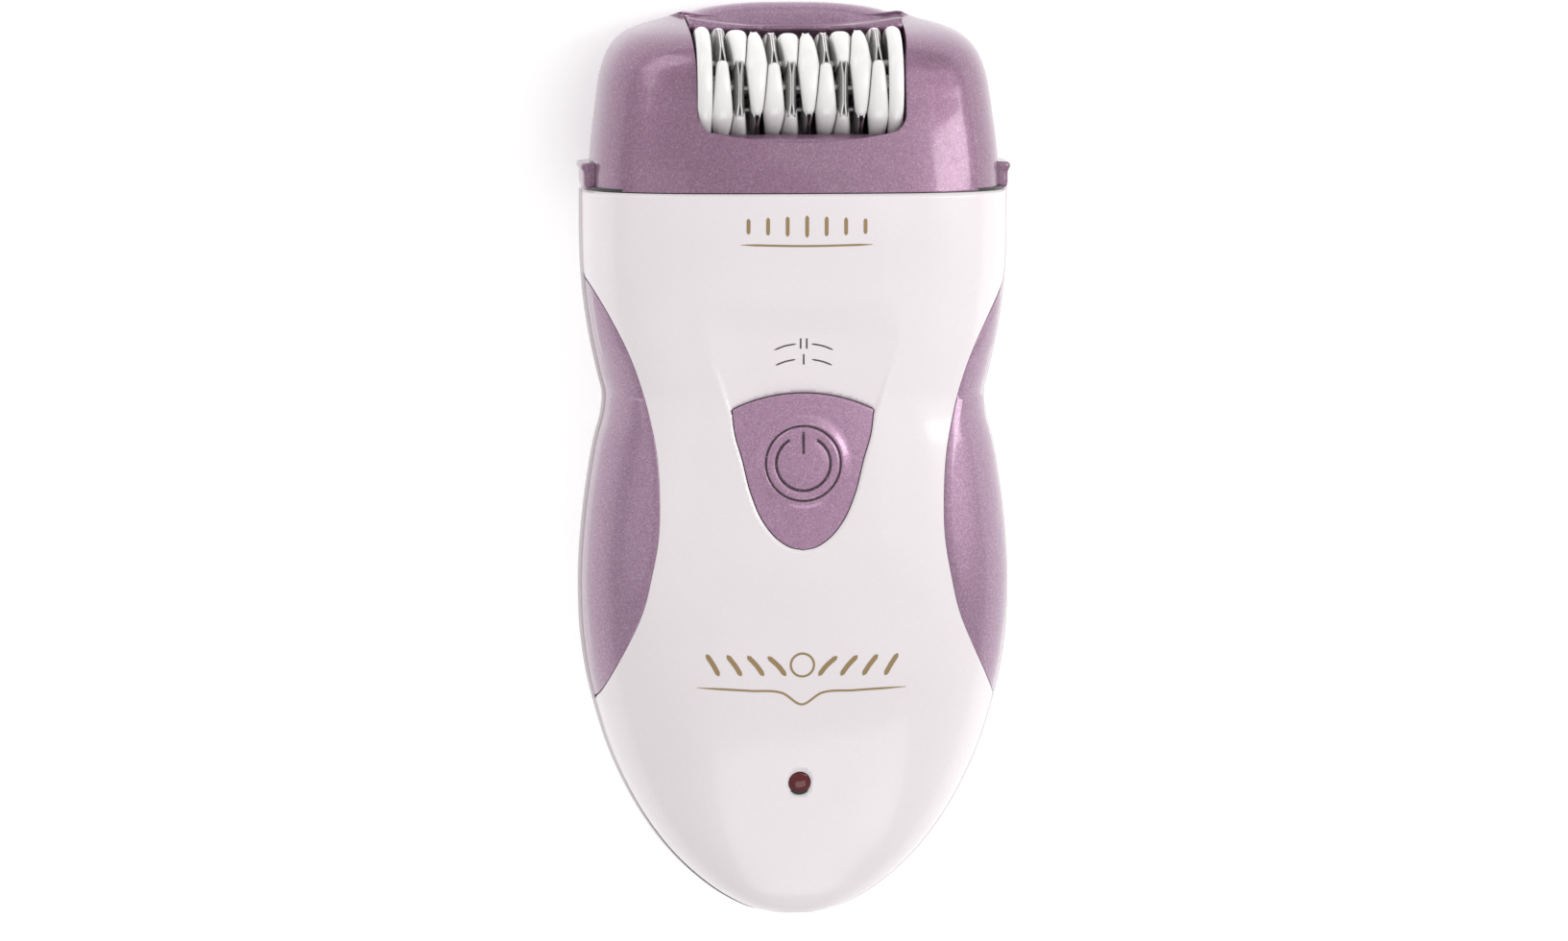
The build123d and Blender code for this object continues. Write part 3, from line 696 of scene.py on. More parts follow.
def buildFrontShell():
    # rows follow the outline's path; across, an even middle band and two sides by the section's own curve
    path = densePath(0.36, 0.75, -16, 24)
    y, half, front, back = handleRows(path)
    half = half - handle["lip"]
    split = handle["split"]
    square = handle["frontSquare"]
    inGrip = (y < gripTop) & (y > gripFoot)
    reach = np.where(inGrip, np.minimum(gripEdge(y) - grip["gap"], half), half)
    band = handle["band"] * half
    middle = np.linspace(-1, 1, 91)[None, :] * band[:, None]
    tBand = curveT(square, band / half)
    tEdge = np.where(reach >= half, 0.0, curveT(square, reach / half))
    share = np.linspace(0, 1, 34)[None, :]
    tSide = tBand[:, None] + (tEdge - tBand)[:, None] * share
    t, xs, zs = squareCurve(square)
    sideX = np.interp(tSide, t, xs) * half[:, None]
    sideZ = np.interp(tSide, t, zs)
    middleZ = curveZ(square, middle / half[:, None])
    x = np.concatenate([-sideX[:, :0:-1], middle, sideX[:, 1:]], axis=1)
    z = split + (front - split)[:, None] * np.concatenate([sideZ[:, :0:-1], middleZ, sideZ[:, 1:]], axis=1)
    yGrid = widen(y, x)
    lampHole = circleOutline(0, lamp["y"], lamp["radius"] + lamp["gap"])
    for outline, floor, carve in ((shieldOutline(slider["gap"]), slider["pocketFloor"], True),
                                  (lampHole, lamp["holeFloor"], False)):
        movedX, movedY, inside = snapToOutline(x, yGrid, outline, handle["snap"])
        moved = (movedX != x) | (movedY != yGrid)
        x, yGrid = movedX, movedY
        z = np.where(moved, frontZ(x, yGrid), z)
        if carve:
            low, high = thumbPath["span"]
            near = (np.abs(x) < thumbPath["reach"]) & (yGrid > low) & (yGrid < high)
            z = np.where(near & ~inside, thumbDepth(x, yGrid, z), z)
        z = np.where(inside, floor, z)
    # turned-in edges: a small round and a wall down
    sheet = np.stack([x, yGrid, z], axis=-1)
    borders = []
    for sign, index in ((-1, 0), (1, -1)):
        edge = sheet[:, index]
        outward = unit(edge - sheet[:, index - sign])
        normal = unit(np.cross(outward, np.gradient(edge, axis=0)) * (-sign))
        normal = np.where(normal[:, 2:3] < 0, -normal, normal)
        ring = np.stack(roundedEdge(edge, outward, normal), axis=1)
        ring[:, :, 2] = np.maximum(ring[:, :, 2], split - 0.02)
        borders.append(ring)
    points = np.concatenate([borders[0][:, ::-1], sheet, borders[1]], axis=1)
    # the head end turns in as well, and the tip closes on the socket's hole
    last = points[0]
    neck = np.stack([neckRing(last), last + [0, 0.02, -0.12], last + [0, -0.02, -0.03]])
    points = np.concatenate([neck, points, socketMouth(points[-1], np.maximum)], axis=0)
    faces = gridFaces(points.shape[0], points.shape[1], flip=True)
    return meshPiece("frontShell", points, faces, "handle", pearlShell, ["front_housing"], "pearl_shell")


def buildRearShell():
    # the lower half of every section, flat where the handle rests
    path = densePath(0.8, 0.8, -16, 24)
    y, half, front, back = handleRows(path)
    split = handle["split"]
    square = handle["backSquare"]
    t, xs, zs = squareCurve(square)
    share = np.linspace(0, 1, 52)
    x = half[:, None] * mirrored(np.interp(share, t, xs), -1)[None, :]
    z = np.maximum(split - (split - back)[:, None] * mirrored(np.interp(share, t, zs))[None, :], 0.0)
    yGrid = widen(y, x)
    radius, floor = handle["screwHole"]
    for screwX, screwY in handle["screws"]:
        x, yGrid, inside = snapToOutline(x, yGrid, circleOutline(screwX, screwY, radius), 1.1)
        z = np.where(inside & (z < split - 1), floor, z)
    points = np.stack([x, yGrid, z], axis=-1)
    lip = points[:, [0, -1]].copy()
    lip[:, :, 2] = split
    lip[:, :, 0] *= 0.985
    points = np.concatenate([lip[:, :1], points, lip[:, 1:]], axis=1)
    points = np.concatenate([neckRing(points[0])[None], points, socketMouth(points[-1], np.minimum)], axis=0)
    faces = gridFaces(points.shape[0], points.shape[1], flip=True)
    return meshPiece("rearShell", points, faces, "handle", pearlShell, ["rear_housing"], "pearl_shell")


def buildGrip(side, name, nodeName):
    # from the curved inner edge to the seam; a raised lens below the waist with a crisp outer edge
    path = np.linspace(pathAt(gripTop), pathAt(gripFoot), 260)
    y, half, front, back = handleRows(path)
    half = half - handle["lip"]
    split = handle["split"]
    square = handle["frontSquare"]
    inner = np.minimum(gripEdge(y), half * 0.9999)
    tInner = curveT(square, inner / half)
    share = np.linspace(0, 1, 64)[None, :]
    tGrid = tInner[:, None] * (1 - share)
    t, xs, zs = squareCurve(square)
    x = half[:, None] * np.interp(tGrid, t, xs)
    z = split + (front - split)[:, None] * np.interp(tGrid, t, zs)
    yGrid = widen(y, x)
    points = np.stack([x, yGrid, z], axis=-1)
    normal = unit(np.cross(np.gradient(points, axis=0), np.gradient(points, axis=1)))
    normal = np.where(normal[:, :, :1] < 0, -normal, normal)
    inset = half[:, None] - x
    lens = smoothStep(*grip["lensIn"], inset) * smoothStep(*grip["lensTop"], yGrid)
    lens *= 1 - smoothStep(*grip["lensFade"], -yGrid)
    upper = smoothStep(*grip["upperIn"], inset) * smoothStep(*grip["upperTop"], yGrid) * grip["upperShare"]
    # the lens dies out before it meets the inner edge
    fade = smoothStep(*grip["innerFade"], np.abs(x - inner[:, None]))
    points = points + normal * (grip["lift"] * (lens + upper) * fade)[:, :, None]
    ring = roundedEdge(points[:, 0], unit(points[:, 0] - points[:, 1]), normal[:, 0])
    points = np.concatenate([np.stack(ring[::-1], axis=1), points], axis=1)
    points[:, :, 0] *= side
    faces = gridFaces(points.shape[0], points.shape[1], flip=side < 0)
    return meshPiece(name, points, faces, "handle", mauvePaint, [nodeName], "mauve_paint")


buildFrontShell()
buildRearShell()
buildGrip(1, "gripRight", "right_grip")
buildGrip(-1, "gripLeft", "left_grip")
print("housings and grips made")


# ---- slider

def topOf(x, y):
    # the slider's gently crowned upper face: a circle across, a parabola along
    radius, fall, middle = slider["crown"]
    return slider["top"] - radius + np.sqrt(radius ** 2 - x ** 2) - fall * (y - middle) ** 2


def buildSlider():
    # rings from the boss centre out to the shield's outline, then a rounded rim and a wall down
    outline = shieldOutline(0.0)
    turn = np.unwrap(np.arctan2(outline[:-1, 1] - slider["bossY"], outline[:-1, 0]))
    order = np.argsort(turn)
    turn = turn[order]
    reach = np.hypot(outline[:-1, 0], outline[:-1, 1] - slider["bossY"])[order]
    angles = np.linspace(turn[0], turn[0] + 2 * math.pi, 289)[:-1]
    around = np.concatenate([turn, turn[:1] + 2 * math.pi])
    edge = np.interp(angles, around, np.concatenate([reach, reach[:1]]))
    boss = slider["boss"]
    radius = np.repeat(boss[:, :1], len(angles), axis=1)
    lift = np.repeat(boss[:, 1:], len(angles), axis=1)
    # the ring groove of the symbol is open at the top
    gap = np.abs(np.angle(np.exp(1j * (angles - math.pi / 2)))) < slider["gapTurn"]
    inner, outer = slider["grooves"][0][:2]
    groove = (boss[:, 0] > inner - 0.1) & (boss[:, 0] < outer + 0.1)
    lift = np.where(groove[:, None] & gap[None, :], boss[4, 1], lift)
    share = np.linspace(0, 1, 15)[1:, None]
    foot = boss[-1, 0]
    face = foot + (edge[None, :] - slider["rim"][0][0] - foot) * share
    rim = [edge[None, :] - inset for inset, drop in slider["rim"][1:]]
    radius = np.concatenate([radius, face, *rim, edge[None, :]])
    drops = [np.full((1, len(edge)), -drop) for inset, drop in slider["rim"][1:]]
    lift = np.concatenate([lift, np.zeros_like(face), *drops])
    x = radius * np.cos(angles)
    y = slider["bossY"] + radius * np.sin(angles)
    z = topOf(x, y)
    z[:-1] += lift
    z[-1] = slider["underside"]
    points = np.stack([x, y, z], axis=-1)
    faces = gridFaces(len(points), len(angles), wrapCols=True)
    meshPiece("sliderShield", points, faces, "slider", mauveSliderLit, ["switch_slider"], "mauve_paint",
              weld=fineWeld)


def buildSymbolGrooveShade():
    # painted shade on the floors of the grooves: a near-black copy of the lacquer in an open ring with an upright
    # bar at its gap, and in the moat round the boss
    parts = []
    for inner, outer, gap, lift in slider["grooves"]:
        turn = np.linspace(math.pi / 2 + gap, math.pi * 2.5 - gap, 121)
        radius = np.array([inner, outer])
        x = radius[:, None] * np.cos(turn)[None, :]
        y = slider["bossY"] + radius[:, None] * np.sin(turn)[None, :]
        parts.append((np.stack([x, y, topOf(x, y) + lift], axis=-1), gridFaces(2, 121, flip=True)))
    halfWidth, foot, top, lift = slider["bar"]
    x, y = np.meshgrid(np.array([-halfWidth, halfWidth]), slider["bossY"] + np.linspace(foot, top, 9))
    parts.append((np.stack([x, y, topOf(x, y) + lift], axis=-1), gridFaces(9, 2)))
    meshPiece("symbolGrooveShade", *joinParts(parts), "slider", mauveGrooveShade, [], "mauve_paint")


buildSlider()
buildSymbolGrooveShade()


# ---- printed marks and lamp

def ribbon(path, width, lift=0.035, taper=True, steps=4):
    # a flat stroke that follows the front housing's surface along a path in plan
    path = np.asarray(path, float)
    step = pathLength(path)
    count = max(8, int(step[-1] / 0.16))
    at = np.linspace(0, step[-1], count)
    line = hermite(step, path, at)
    ahead = unit(np.gradient(line, axis=0))
    across = np.stack([-ahead[:, 1], ahead[:, 0]], axis=1)
    ends = np.minimum(at, step[-1] - at) / max(step[-1], 1e-6)
    wide = width * (np.clip(ends * 9, 0.10, 1) ** 0.6 if taper else np.ones(count))
    offset = np.linspace(-0.5, 0.5, steps)
    x = line[:, 0:1] + across[:, 0:1] * offset[None, :] * wide[:, None]
    y = line[:, 1:2] + across[:, 1:2] * offset[None, :] * wide[:, None]
    z = frontZ(x, y)
    if line[:, 1].min() > thumbPath["foot"][1] and line[:, 1].max() < thumbPath["ramp"][1]:
        z = thumbDepth(x, y, z)
    points = np.stack([x, y, z + lift], axis=-1)
    return points, gridFaces(count, steps)


marks = {
    "arcs": (((-4.7, 19.2), (-3.0, 19.85), (-1.1, 20.2)), ((1.4, 20.2), (3.3, 19.85), (5.0, 19.2)),
             ((-4.5, 16.7), (-2.9, 17.3), (-1.2, 17.65)), ((1.5, 17.65), (3.2, 17.3), (4.8, 16.7))),
    "arcWidth": 0.25,
    "bars": (((-0.35, 19.4), (-0.35, 21.1)), ((0.65, 19.4), (0.65, 21.1)), ((0.15, 16.8), (0.15, 18.5))),
    "barWidth": 0.27,
}


def buildMarks():
    # two bars over one bar, each between a pair of thin arcs
    parts = [ribbon(path, marks["arcWidth"]) for path in marks["arcs"]]
    parts += [ribbon(path, marks["barWidth"], taper=False) for path in marks["bars"]]
    meshPiece("speedMarks", *joinParts(parts), "handle", darkInk, ["speed_marks"], "dark_ink")


upper = {
    "middle": (0.6, 39.5),
    "pitch": 3.2,
    "tall": (3.6, 0.35),  # height in the middle, and loss per place away from it
    "width": 0.62,
    "line": ((-10.2, 36.5), (0.6, 36.3), (11.4, 36.5)),
    "lineWidth": 0.34,
}


def buildUpperOrnament():
    # seven slim lozenges, tallest in the middle, over a fine pinstripe
    x, y = upper["middle"]
    parts = []
    for step in range(-3, 4):
        reach = (upper["tall"][0] - upper["tall"][1] * abs(step)) / 2
        place = step * upper["pitch"] + x
        parts.append(ribbon([(place, y - reach), (place, y + reach)], upper["width"]))
    parts.append(ribbon(upper["line"], upper["lineWidth"]))
    meshPiece("upperOrnament", *joinParts(parts), "handle", goldInk, ["upper_trim"], "gold_ink")


lower = {
    "ring": (-32.6, 1.9),  # place along, radius
    "first": 4.2,
    "pitch": 3.5,
    "lean": (1.5, 0.15),
    "leaf": (-34.4, -32.9, -31.2, 0.12),  # foot, belly and tip along, and rise of the tip per leaf
    "leafWidth": 0.78,
    "line": ((-17.2, -36.4), (-8.5, -36.9), (-3.2, -37.3), (0.0, -39.2), (3.2, -37.3), (8.5, -36.9),
             (17.2, -36.4)),
    "lineWidth": 0.36,
}


def buildLowerOrnament():
    # a garland: slim leaves to both sides of a small ring, over a pinstripe that dips under it
    turn = np.linspace(0, 2 * math.pi, 41)
    y, radius = lower["ring"]
    circle = np.stack([radius * np.cos(turn), y + radius * np.sin(turn)], 1)
    parts = [ribbon(circle, lower["lineWidth"], taper=False)]
    foot, belly, tip, rise = lower["leaf"]
    for side in (1, -1):
        for step in range(4):
            x = side * (lower["first"] + step * lower["pitch"])
            lean = side * (lower["lean"][0] - lower["lean"][1] * step)
            leaf = [(x - lean, foot), (x - lean * 0.25, belly), (x + lean, tip + rise * step)]
            parts.append(ribbon(leaf, lower["leafWidth"]))
    parts.append(ribbon(lower["line"], lower["lineWidth"]))
    meshPiece("lowerOrnament", *joinParts(parts), "handle", goldInk, ["lower_trim"], "gold_ink")


# painted shade: dark strips sunk in the gaps along the grips, round the slider and the lamp, and in the joint of
# handle and head
gapShade = {
    "end": 0.3,
    "rim": 1.6,
    "width": 0.62,
    "sink": 0.16,
    "pocket": ((0.14, -0.35), 35.58),  # growth of the slider's outline for both edges of the band, and height
    "slot": (1.6, -7.0, 10.5, 35.57),  # half width, foot, top, height
    "lamp": ((2.0, 1.0), 0.5),  # both radii, and depth under the surface
    "neckHalf": 34.7,
    "neckRise": 21.35,
    "neckPlaces": (44.0, 44.6, 45.4),
}


def buildGripGapShade():
    # painted shade: black strips sunk along the grips' inner edges, in the gap where only shade falls
    y = np.linspace(gripFoot + gapShade["end"], gripTop - gapShade["end"], 120)
    edge = gripEdge(y)
    clear = edge < atAlong(y, halfFine) - handle["lip"] - gapShade["rim"]
    y, edge = y[clear], edge[clear]
    parts = [ribbon(np.stack([side * (edge - grip["gap"] / 2), y], 1), gapShade["width"], -gapShade["sink"], False, 3)
             for side in (1, -1)]
    meshPiece("gripGapShade", *joinParts(parts), "handle", blackPartAndGapShade, [], "black_part")


def buildSliderPocket():
    # painted shade: dark sheets under the gap round the slider and under its slot, and a dark ring under the
    # lamp's gap
    growths, height = gapShade["pocket"]
    outlines = [shieldOutline(grow)[:-1] for grow in growths]
    band = np.stack([np.column_stack([outline, np.full(len(outline), height)]) for outline in outlines])
    half, foot, top, height = gapShade["slot"]
    slotX, slotY = np.meshgrid(np.array([-half, half]), np.linspace(foot, top, 9))
    slot = np.stack([slotX, slotY, np.full_like(slotX, height)], -1)
    radii, sink = gapShade["lamp"]
    ring = lathe([(radius, lampSeat() - sink) for radius in radii], (0, lamp["y"], 0), 48)
    parts = [(band, gridFaces(2, band.shape[1], wrapCols=True)), (slot, gridFaces(9, 2)), ring]
    meshPiece("openingGapShade", *joinParts(parts), "handle", blackPartAndGapShade, [], "black_part")


def buildNeckGapShade():
    # painted shade: a dark band in the joint between handle and head, a little inside both
    t, xs, zs = squareCurve(handle["frontSquare"])
    share = np.linspace(0, 1, 120)
    x = mirrored(np.interp(share, t, xs), -1) * gapShade["neckHalf"]
    up = handle["split"] + gapShade["neckRise"] * mirrored(np.interp(share, t, zs))
    points = np.stack([np.stack([x, np.full_like(x, y), up], -1) for y in gapShade["neckPlaces"]])
    meshPiece("neckGapShade", points, gridFaces(3, len(x), flip=True), "handle", blackPartAndGapShade, [], "black_part")


def lathe(profile, centre, steps=64, axis="z"):
    # rings of a (radius, height) profile about an upright axis, or about the x axis
    profile = np.asarray(profile, float)
    turn = np.linspace(0, 2 * math.pi, steps + 1)[:-1]
    a = profile[:, 0:1] * np.cos(turn)
    b = profile[:, 0:1] * np.sin(turn)
    h = np.repeat(profile[:, 1:2], steps, axis=1)
    points = np.stack([a, b, h] if axis == "z" else [h, a, b], axis=-1) + np.asarray(centre)
    return points.reshape(-1, 3), gridFaces(len(profile), steps, wrapCols=True)


def lampSeat(ahead=0):
    # height of the housing at the lamp, or a little ahead of it
    return float(frontZ(0.0, lamp["y"] + ahead))


def buildLamp():
    # a low dome in its hole, height = seat - 0.22 + 0.55 cos t
    sink, rise = lamp["dome"]
    t = np.linspace(0, math.pi / 2, 10)
    dome = np.stack([lamp["radius"] * np.sin(t), lampSeat() + sink + rise * np.cos(t)], axis=1)
    profile = np.concatenate([dome, [[lamp["radius"], lampSeat() - lamp["wall"]]]])
    verts, faces = lathe(profile, (0, lamp["y"], 0), 72)
    # the dome leans with the surface around it
    verts[:, 2] += (verts[:, 1] - lamp["y"]) * (lampSeat(1) - lampSeat(-1)) / 2
    meshPiece("lampLens", verts, faces, "handle", lampRed, ["charge_lamp"], "red_lens", weld=fineWeld)


for build in (buildMarks, buildUpperOrnament, buildLowerOrnament, buildLamp, buildGripGapShade, buildSliderPocket,
              buildNeckGapShade):
    build()
print("slider, marks and lamp made")


# ---- head

head = {
    "foot": 45.0,
    "square": 0.80,
    "back": 1.6,
    "wall": 0.0015,
    "edge": 0.00040,
    "weld": 0.00003,
    "notch": (49.4, 8.3, 23.8, 30),  # up to this place along, between these heights, outside this width
    "window": 17.2,
    "windowFlare": 17.8,
    "flareSpan": (64, 73),
    "windowLow": (53.2, 55.3),
    "cornerRadius": 2.4,
    "drumY": 61.9,
    "drumZ": 25.5,
    # along the head, half width, front height, widest height
    "rows": np.array([(45.0, 33.9, 37.2, 15.5), (49.0, 33.75, 36.8, 15.5), (53.0, 33.4, 36.2, 15.2),
                      (57.0, 32.9, 35.5, 14.7), (60.0, 32.5, 34.8, 14.2), (63.0, 32.05, 34.1, 13.6),
                      (66.0, 31.15, 33.3, 12.8), (67.8, 30.25, 32.3, 11.8), (69.1, 29.2, 31.0, 10.6),
                      (70.3, 27.7, 28.6, 9.4), (71.2, 25.7, 25.4, 8.4), (71.9, 23.4, 21.5, 7.5),
                      (72.45, 21.2, 17.4, 6.8), (72.85, 19.9, 14.0, 6.3),
                      (73.1, 18.9, 11.5, 6.0), (73.3, 17.85, 9.2, 5.9)]),
    "crest": np.array([(0.0, 75.0), (6.0, 74.9), (10.9, 74.5), (14.9, 73.8), (18.0, 72.8), (20.7, 71.4),
                       (24.0, 69.5)]),
    "rim": (71.1, 1.5),  # rear rim of the window, and how far it bows at the window's sides
    "rimHeight": (8.2, 2.6, 6.0),  # its height, the rise towards its ends, and the tuck past them
    "crownHalf": 20.5,
    "crownWall": 0.0013,
    # distance past the crest and height, down the crown's rear
    "roll": ((0.02, 4.0), (-0.08, 3.4), (-0.35, 2.8), (-0.9, 2.2), (-1.8, 1.8), (-3.0, 1.66)),
}


def windowEdge(y):
    # half width of the window, flaring towards the crown
    low = head["window"]
    return low + (head["windowFlare"] - low) * smoothStep(*head["flareSpan"], y)


def casingZ(share, front, middle):
    # height at a share of the half width: middle + (front - middle) * curve
    return middle + (front - middle) * curveZ(head["square"], share)


def windowLow(share):
    # lower edge of the window, bowed, with rounded corners; share runs from -1 to 1 across it
    lowCentre, lowSide = head["windowLow"]
    radius = head["cornerRadius"]
    inCorner = np.minimum(head["window"] * (1 - np.abs(share)), radius)
    bowed = lowCentre + (lowSide - lowCentre) * share ** 2
    return bowed + radius - np.sqrt(radius ** 2 - (radius - inCorner) ** 2)


def buildCasing():
    # one sheet below the window, and from its corners up two side sheets that close at the crown
    rows = head["rows"]
    rise = np.hypot(*np.diff(rows[:, :2], axis=0).T)
    path = np.concatenate([[0], np.cumsum(np.hypot(rise, 0.5 * np.diff(rows[:, 2])))])
    finePath = np.linspace(0, path[-1], 1200)
    fine = hermite(path, rows, finePath)
    t, xs, zs = squareCurve(head["square"])
    foot = head["foot"]
    cornerY = float(windowLow(1.0))
    lowRows = np.linspace(0, 1, 40)
    high = hermite(path, rows, np.linspace(np.interp(cornerY, fine[:, 0], finePath), path[-1], 100)[1:])
    lowY = foot + (cornerY - foot) * lowRows
    y = np.concatenate([lowY, high[:, 0]])
    half, front, middle = (np.concatenate([np.interp(lowY, fine[:, 0], fine[:, col]), high[:, col]])
                           for col in (1, 2, 3))
    tInner = curveT(head["square"], np.minimum(windowEdge(y), half) / half)
    tGrid = tInner[:, None] * (1 - np.linspace(0, 1, 60)[None, :])
    tBack = np.linspace(0, 1, 30)[None, 1:]
    x = np.concatenate([half[:, None] * np.interp(tGrid, t, xs), half[:, None] * np.interp(tBack, t, xs)], axis=1)
    rises = ((front - middle)[:, None] * np.interp(tGrid, t, zs),
             (head["back"] - middle)[:, None] * np.interp(tBack, t, zs))
    z = middle[:, None] + np.concatenate(rises, axis=1)
    yGrid = widen(y, x)
    # a notch for the release tab in each side
    notchTop, notchLow, notchHigh, notchSide = head["notch"]
    keep = ~((yGrid < notchTop) & (z > notchLow) & (z < notchHigh) & (x > notchSide))
    parts = [(np.stack([x * side, yGrid, z], axis=-1), gridFaces(*x.shape, keep=keep, flip=side < 0))
             for side in (1, -1)]
    across = np.sin(np.linspace(-1, 1, 141) * math.pi / 2)
    yBand = foot + (windowLow(across)[None, :] - foot) * lowRows[:, None]
    xBand = head["window"] * across[None, :] + 0 * yBand
    halfBand, frontBand, middleBand = (np.interp(yBand, fine[:, 0], fine[:, col]) for col in (1, 2, 3))
    zBand = casingZ(xBand / halfBand, frontBand, middleBand)
    parts.append((np.stack([xBand, yBand, zBand], axis=-1), gridFaces(*xBand.shape)))
    piece = meshPiece("headCasing", *joinParts(parts), "head", mauveCaseShaded, ["head_casing"], "mauve_paint",
                      weld=head["weld"])
    addModifier(piece, "SOLIDIFY", thickness=head["wall"], offset=-1.0)
    addModifier(piece, "BEVEL", width=head["edge"], segments=3, limit_method="ANGLE",
                angle_limit=math.radians(50))


def crestY(x):
    # the head's outline over its top
    table = head["crest"]
    return hermite(table[:, 0], table[:, 1], np.abs(x))


def rearRim(x):
    # place along of the window's rear rim: a parabola across
    place, rise = head["rim"]
    return place + rise * (x / head["windowFlare"]) ** 2


def buildHeadBack():
    # the lens-shaped crown from the window's rear rim to the crest, rolled over to the rear face
    x = np.linspace(-head["crownHalf"], head["crownHalf"], 161)
    crest = crestY(x)
    bow = np.abs(x) / head["windowFlare"]
    rimY = np.minimum(rearRim(x), crest - 0.3)
    height, rise, tuck = head["rimHeight"]
    rimZ = height + rise * bow ** 4 - tuck * smoothStep(1.0, 1.15, bow)
    rows = [(rimY - 0.15, rimZ - 1.0), (rimY - 0.12, rimZ - 0.25), (rimY, rimZ - 0.06), (rimY + 0.18, rimZ)]
    start = rimY + 0.18
    drop = np.maximum(rimZ - 4.6, 0.2)
    for share in np.linspace(0, 1, 22)[1:]:
        # the facet is a shallow hollow that rolls over at the crest
        fall = 0.55 * share + 0.45 * share ** 3
        rows.append((start + (crest - start) * np.sin(share * math.pi / 2) ** 1.05, rimZ - drop * fall))
    rows += [(crest + ahead, np.full_like(x, height)) for ahead, height in head["roll"]]
    points = np.stack([np.stack([x, y, z], axis=-1) for y, z in rows])
    piece = meshPiece("headCrown", points, gridFaces(*points.shape[:2]), "head", mauvePaint, [], "mauve_paint")
    addModifier(piece, "SOLIDIFY", thickness=head["crownWall"], offset=-1.0)


bed = {
    "radius": 10.7,
    "half": 17.6,
    "sweep": (26, 222),  # degrees round the drum's axis
    "wallFoot": 8.4,
    "frontEnd": (52.5, 34.0),
    "cheek": (54.5, 72.6),  # along the head
    "cheekOut": 0.95,
    "cheekFoot": 8.0,
    "cheekDrop": 1.2,
    "wall": 0.0008,
}


def buildBed():
    # the trough round the drum from the window's lower edge to the rear rim, with its end cheeks
    x = np.linspace(-bed["half"], bed["half"], 41)
    angle = np.radians(np.linspace(*bed["sweep"], 80))
    endY, endZ = bed["frontEnd"]
    arcZ = head["drumZ"] - bed["radius"] * np.sin(angle)
    y = np.concatenate([np.zeros(6), head["drumY"] + bed["radius"] * np.cos(angle), [endY]])
    z = np.concatenate([np.linspace(bed["wallFoot"], arcZ[0] - 0.5, 6), arcZ, [endZ]])
    xGrid = np.repeat(x[None, :], len(y), 0)
    yGrid = widen(y, xGrid)
    yGrid[:6] = rearRim(x)
    parts = [(np.stack([xGrid, yGrid, widen(z, xGrid)], axis=-1), gridFaces(*xGrid.shape))]
    # cheeks: a wall at each end of the window
    y = np.linspace(*bed["cheek"], 60)
    half, front, middle = (np.interp(y, head["rows"][:, 0], head["rows"][:, col]) for col in (1, 2, 3))
    edge = windowEdge(y) + bed["cheekOut"]
    top = casingZ(edge / half, front, middle) - bed["cheekDrop"]
    z = bed["cheekFoot"] + (top[:, None] - bed["cheekFoot"]) * np.linspace(0, 1, 40)[None, :]
    for side in (1, -1):
        points = np.stack([widen(side * edge, z), widen(y, z), z], axis=-1)
        parts.append((points, gridFaces(*z.shape, flip=side > 0)))
    piece = meshPiece("drumBed", *joinParts(parts), "head", mauveBed, ["drum_bed"], "mauve_paint")
    addModifier(piece, "SOLIDIFY", thickness=bed["wall"], offset=0.0)


buildCasing()
buildHeadBack()
buildBed()
print("head made")


# ---- drum

drum = {
    "count": 10,
    "middle": 4.5,
    "shift": -0.2,
    "radius": 9.7,
    "waist": 0.9,
    "pitch": 2.85,
    "halfThick": 1.33,
    "rim": 1.36,
    "petal": 61.0,
    "first": 210.0,
    "step": 60.0,
    "hub": 3.4,
    "cheek": 0.50,
}


def drumPoint(x, radius, angle):
    # angle from +Y towards +Z about the drum's axis
    return np.stack([x, head["drumY"] + radius * np.cos(angle), head["drumZ"] + radius * np.sin(angle)], axis=-1)


def discPlace(index):
    # place across, radius (less towards the drum's middle) and angle of the gap between a disc's petals
    off = index - drum["middle"]
    radius = drum["radius"] - drum["waist"] * max(0, 1 - (abs(off) / drum["middle"]) ** 2)
    return drum["shift"] + off * drum["pitch"], radius, math.radians(drum["first"] + drum["step"] * index)


def capEnds(points):
    # a closed strip of rings: quads between them and a fan to the middle of each end ring
    rows, cols = points.shape[:2]
    here = np.arange(cols)
    ahead = (here + 1) % cols
    low = np.stack([np.full(cols, rows * cols), ahead, here], axis=1)
    start = (rows - 1) * cols
    high = np.stack([np.full(cols, rows * cols + 1), start + here, start + ahead], axis=1)
    fans = np.stack([low, high], axis=1).reshape(-1, 3)
    verts = np.concatenate([points.reshape(-1, 3), [points[0].mean(axis=0), points[-1].mean(axis=0)]])
    return verts, gridFaces(rows, cols, wrapCols=True).tolist() + fans.tolist()


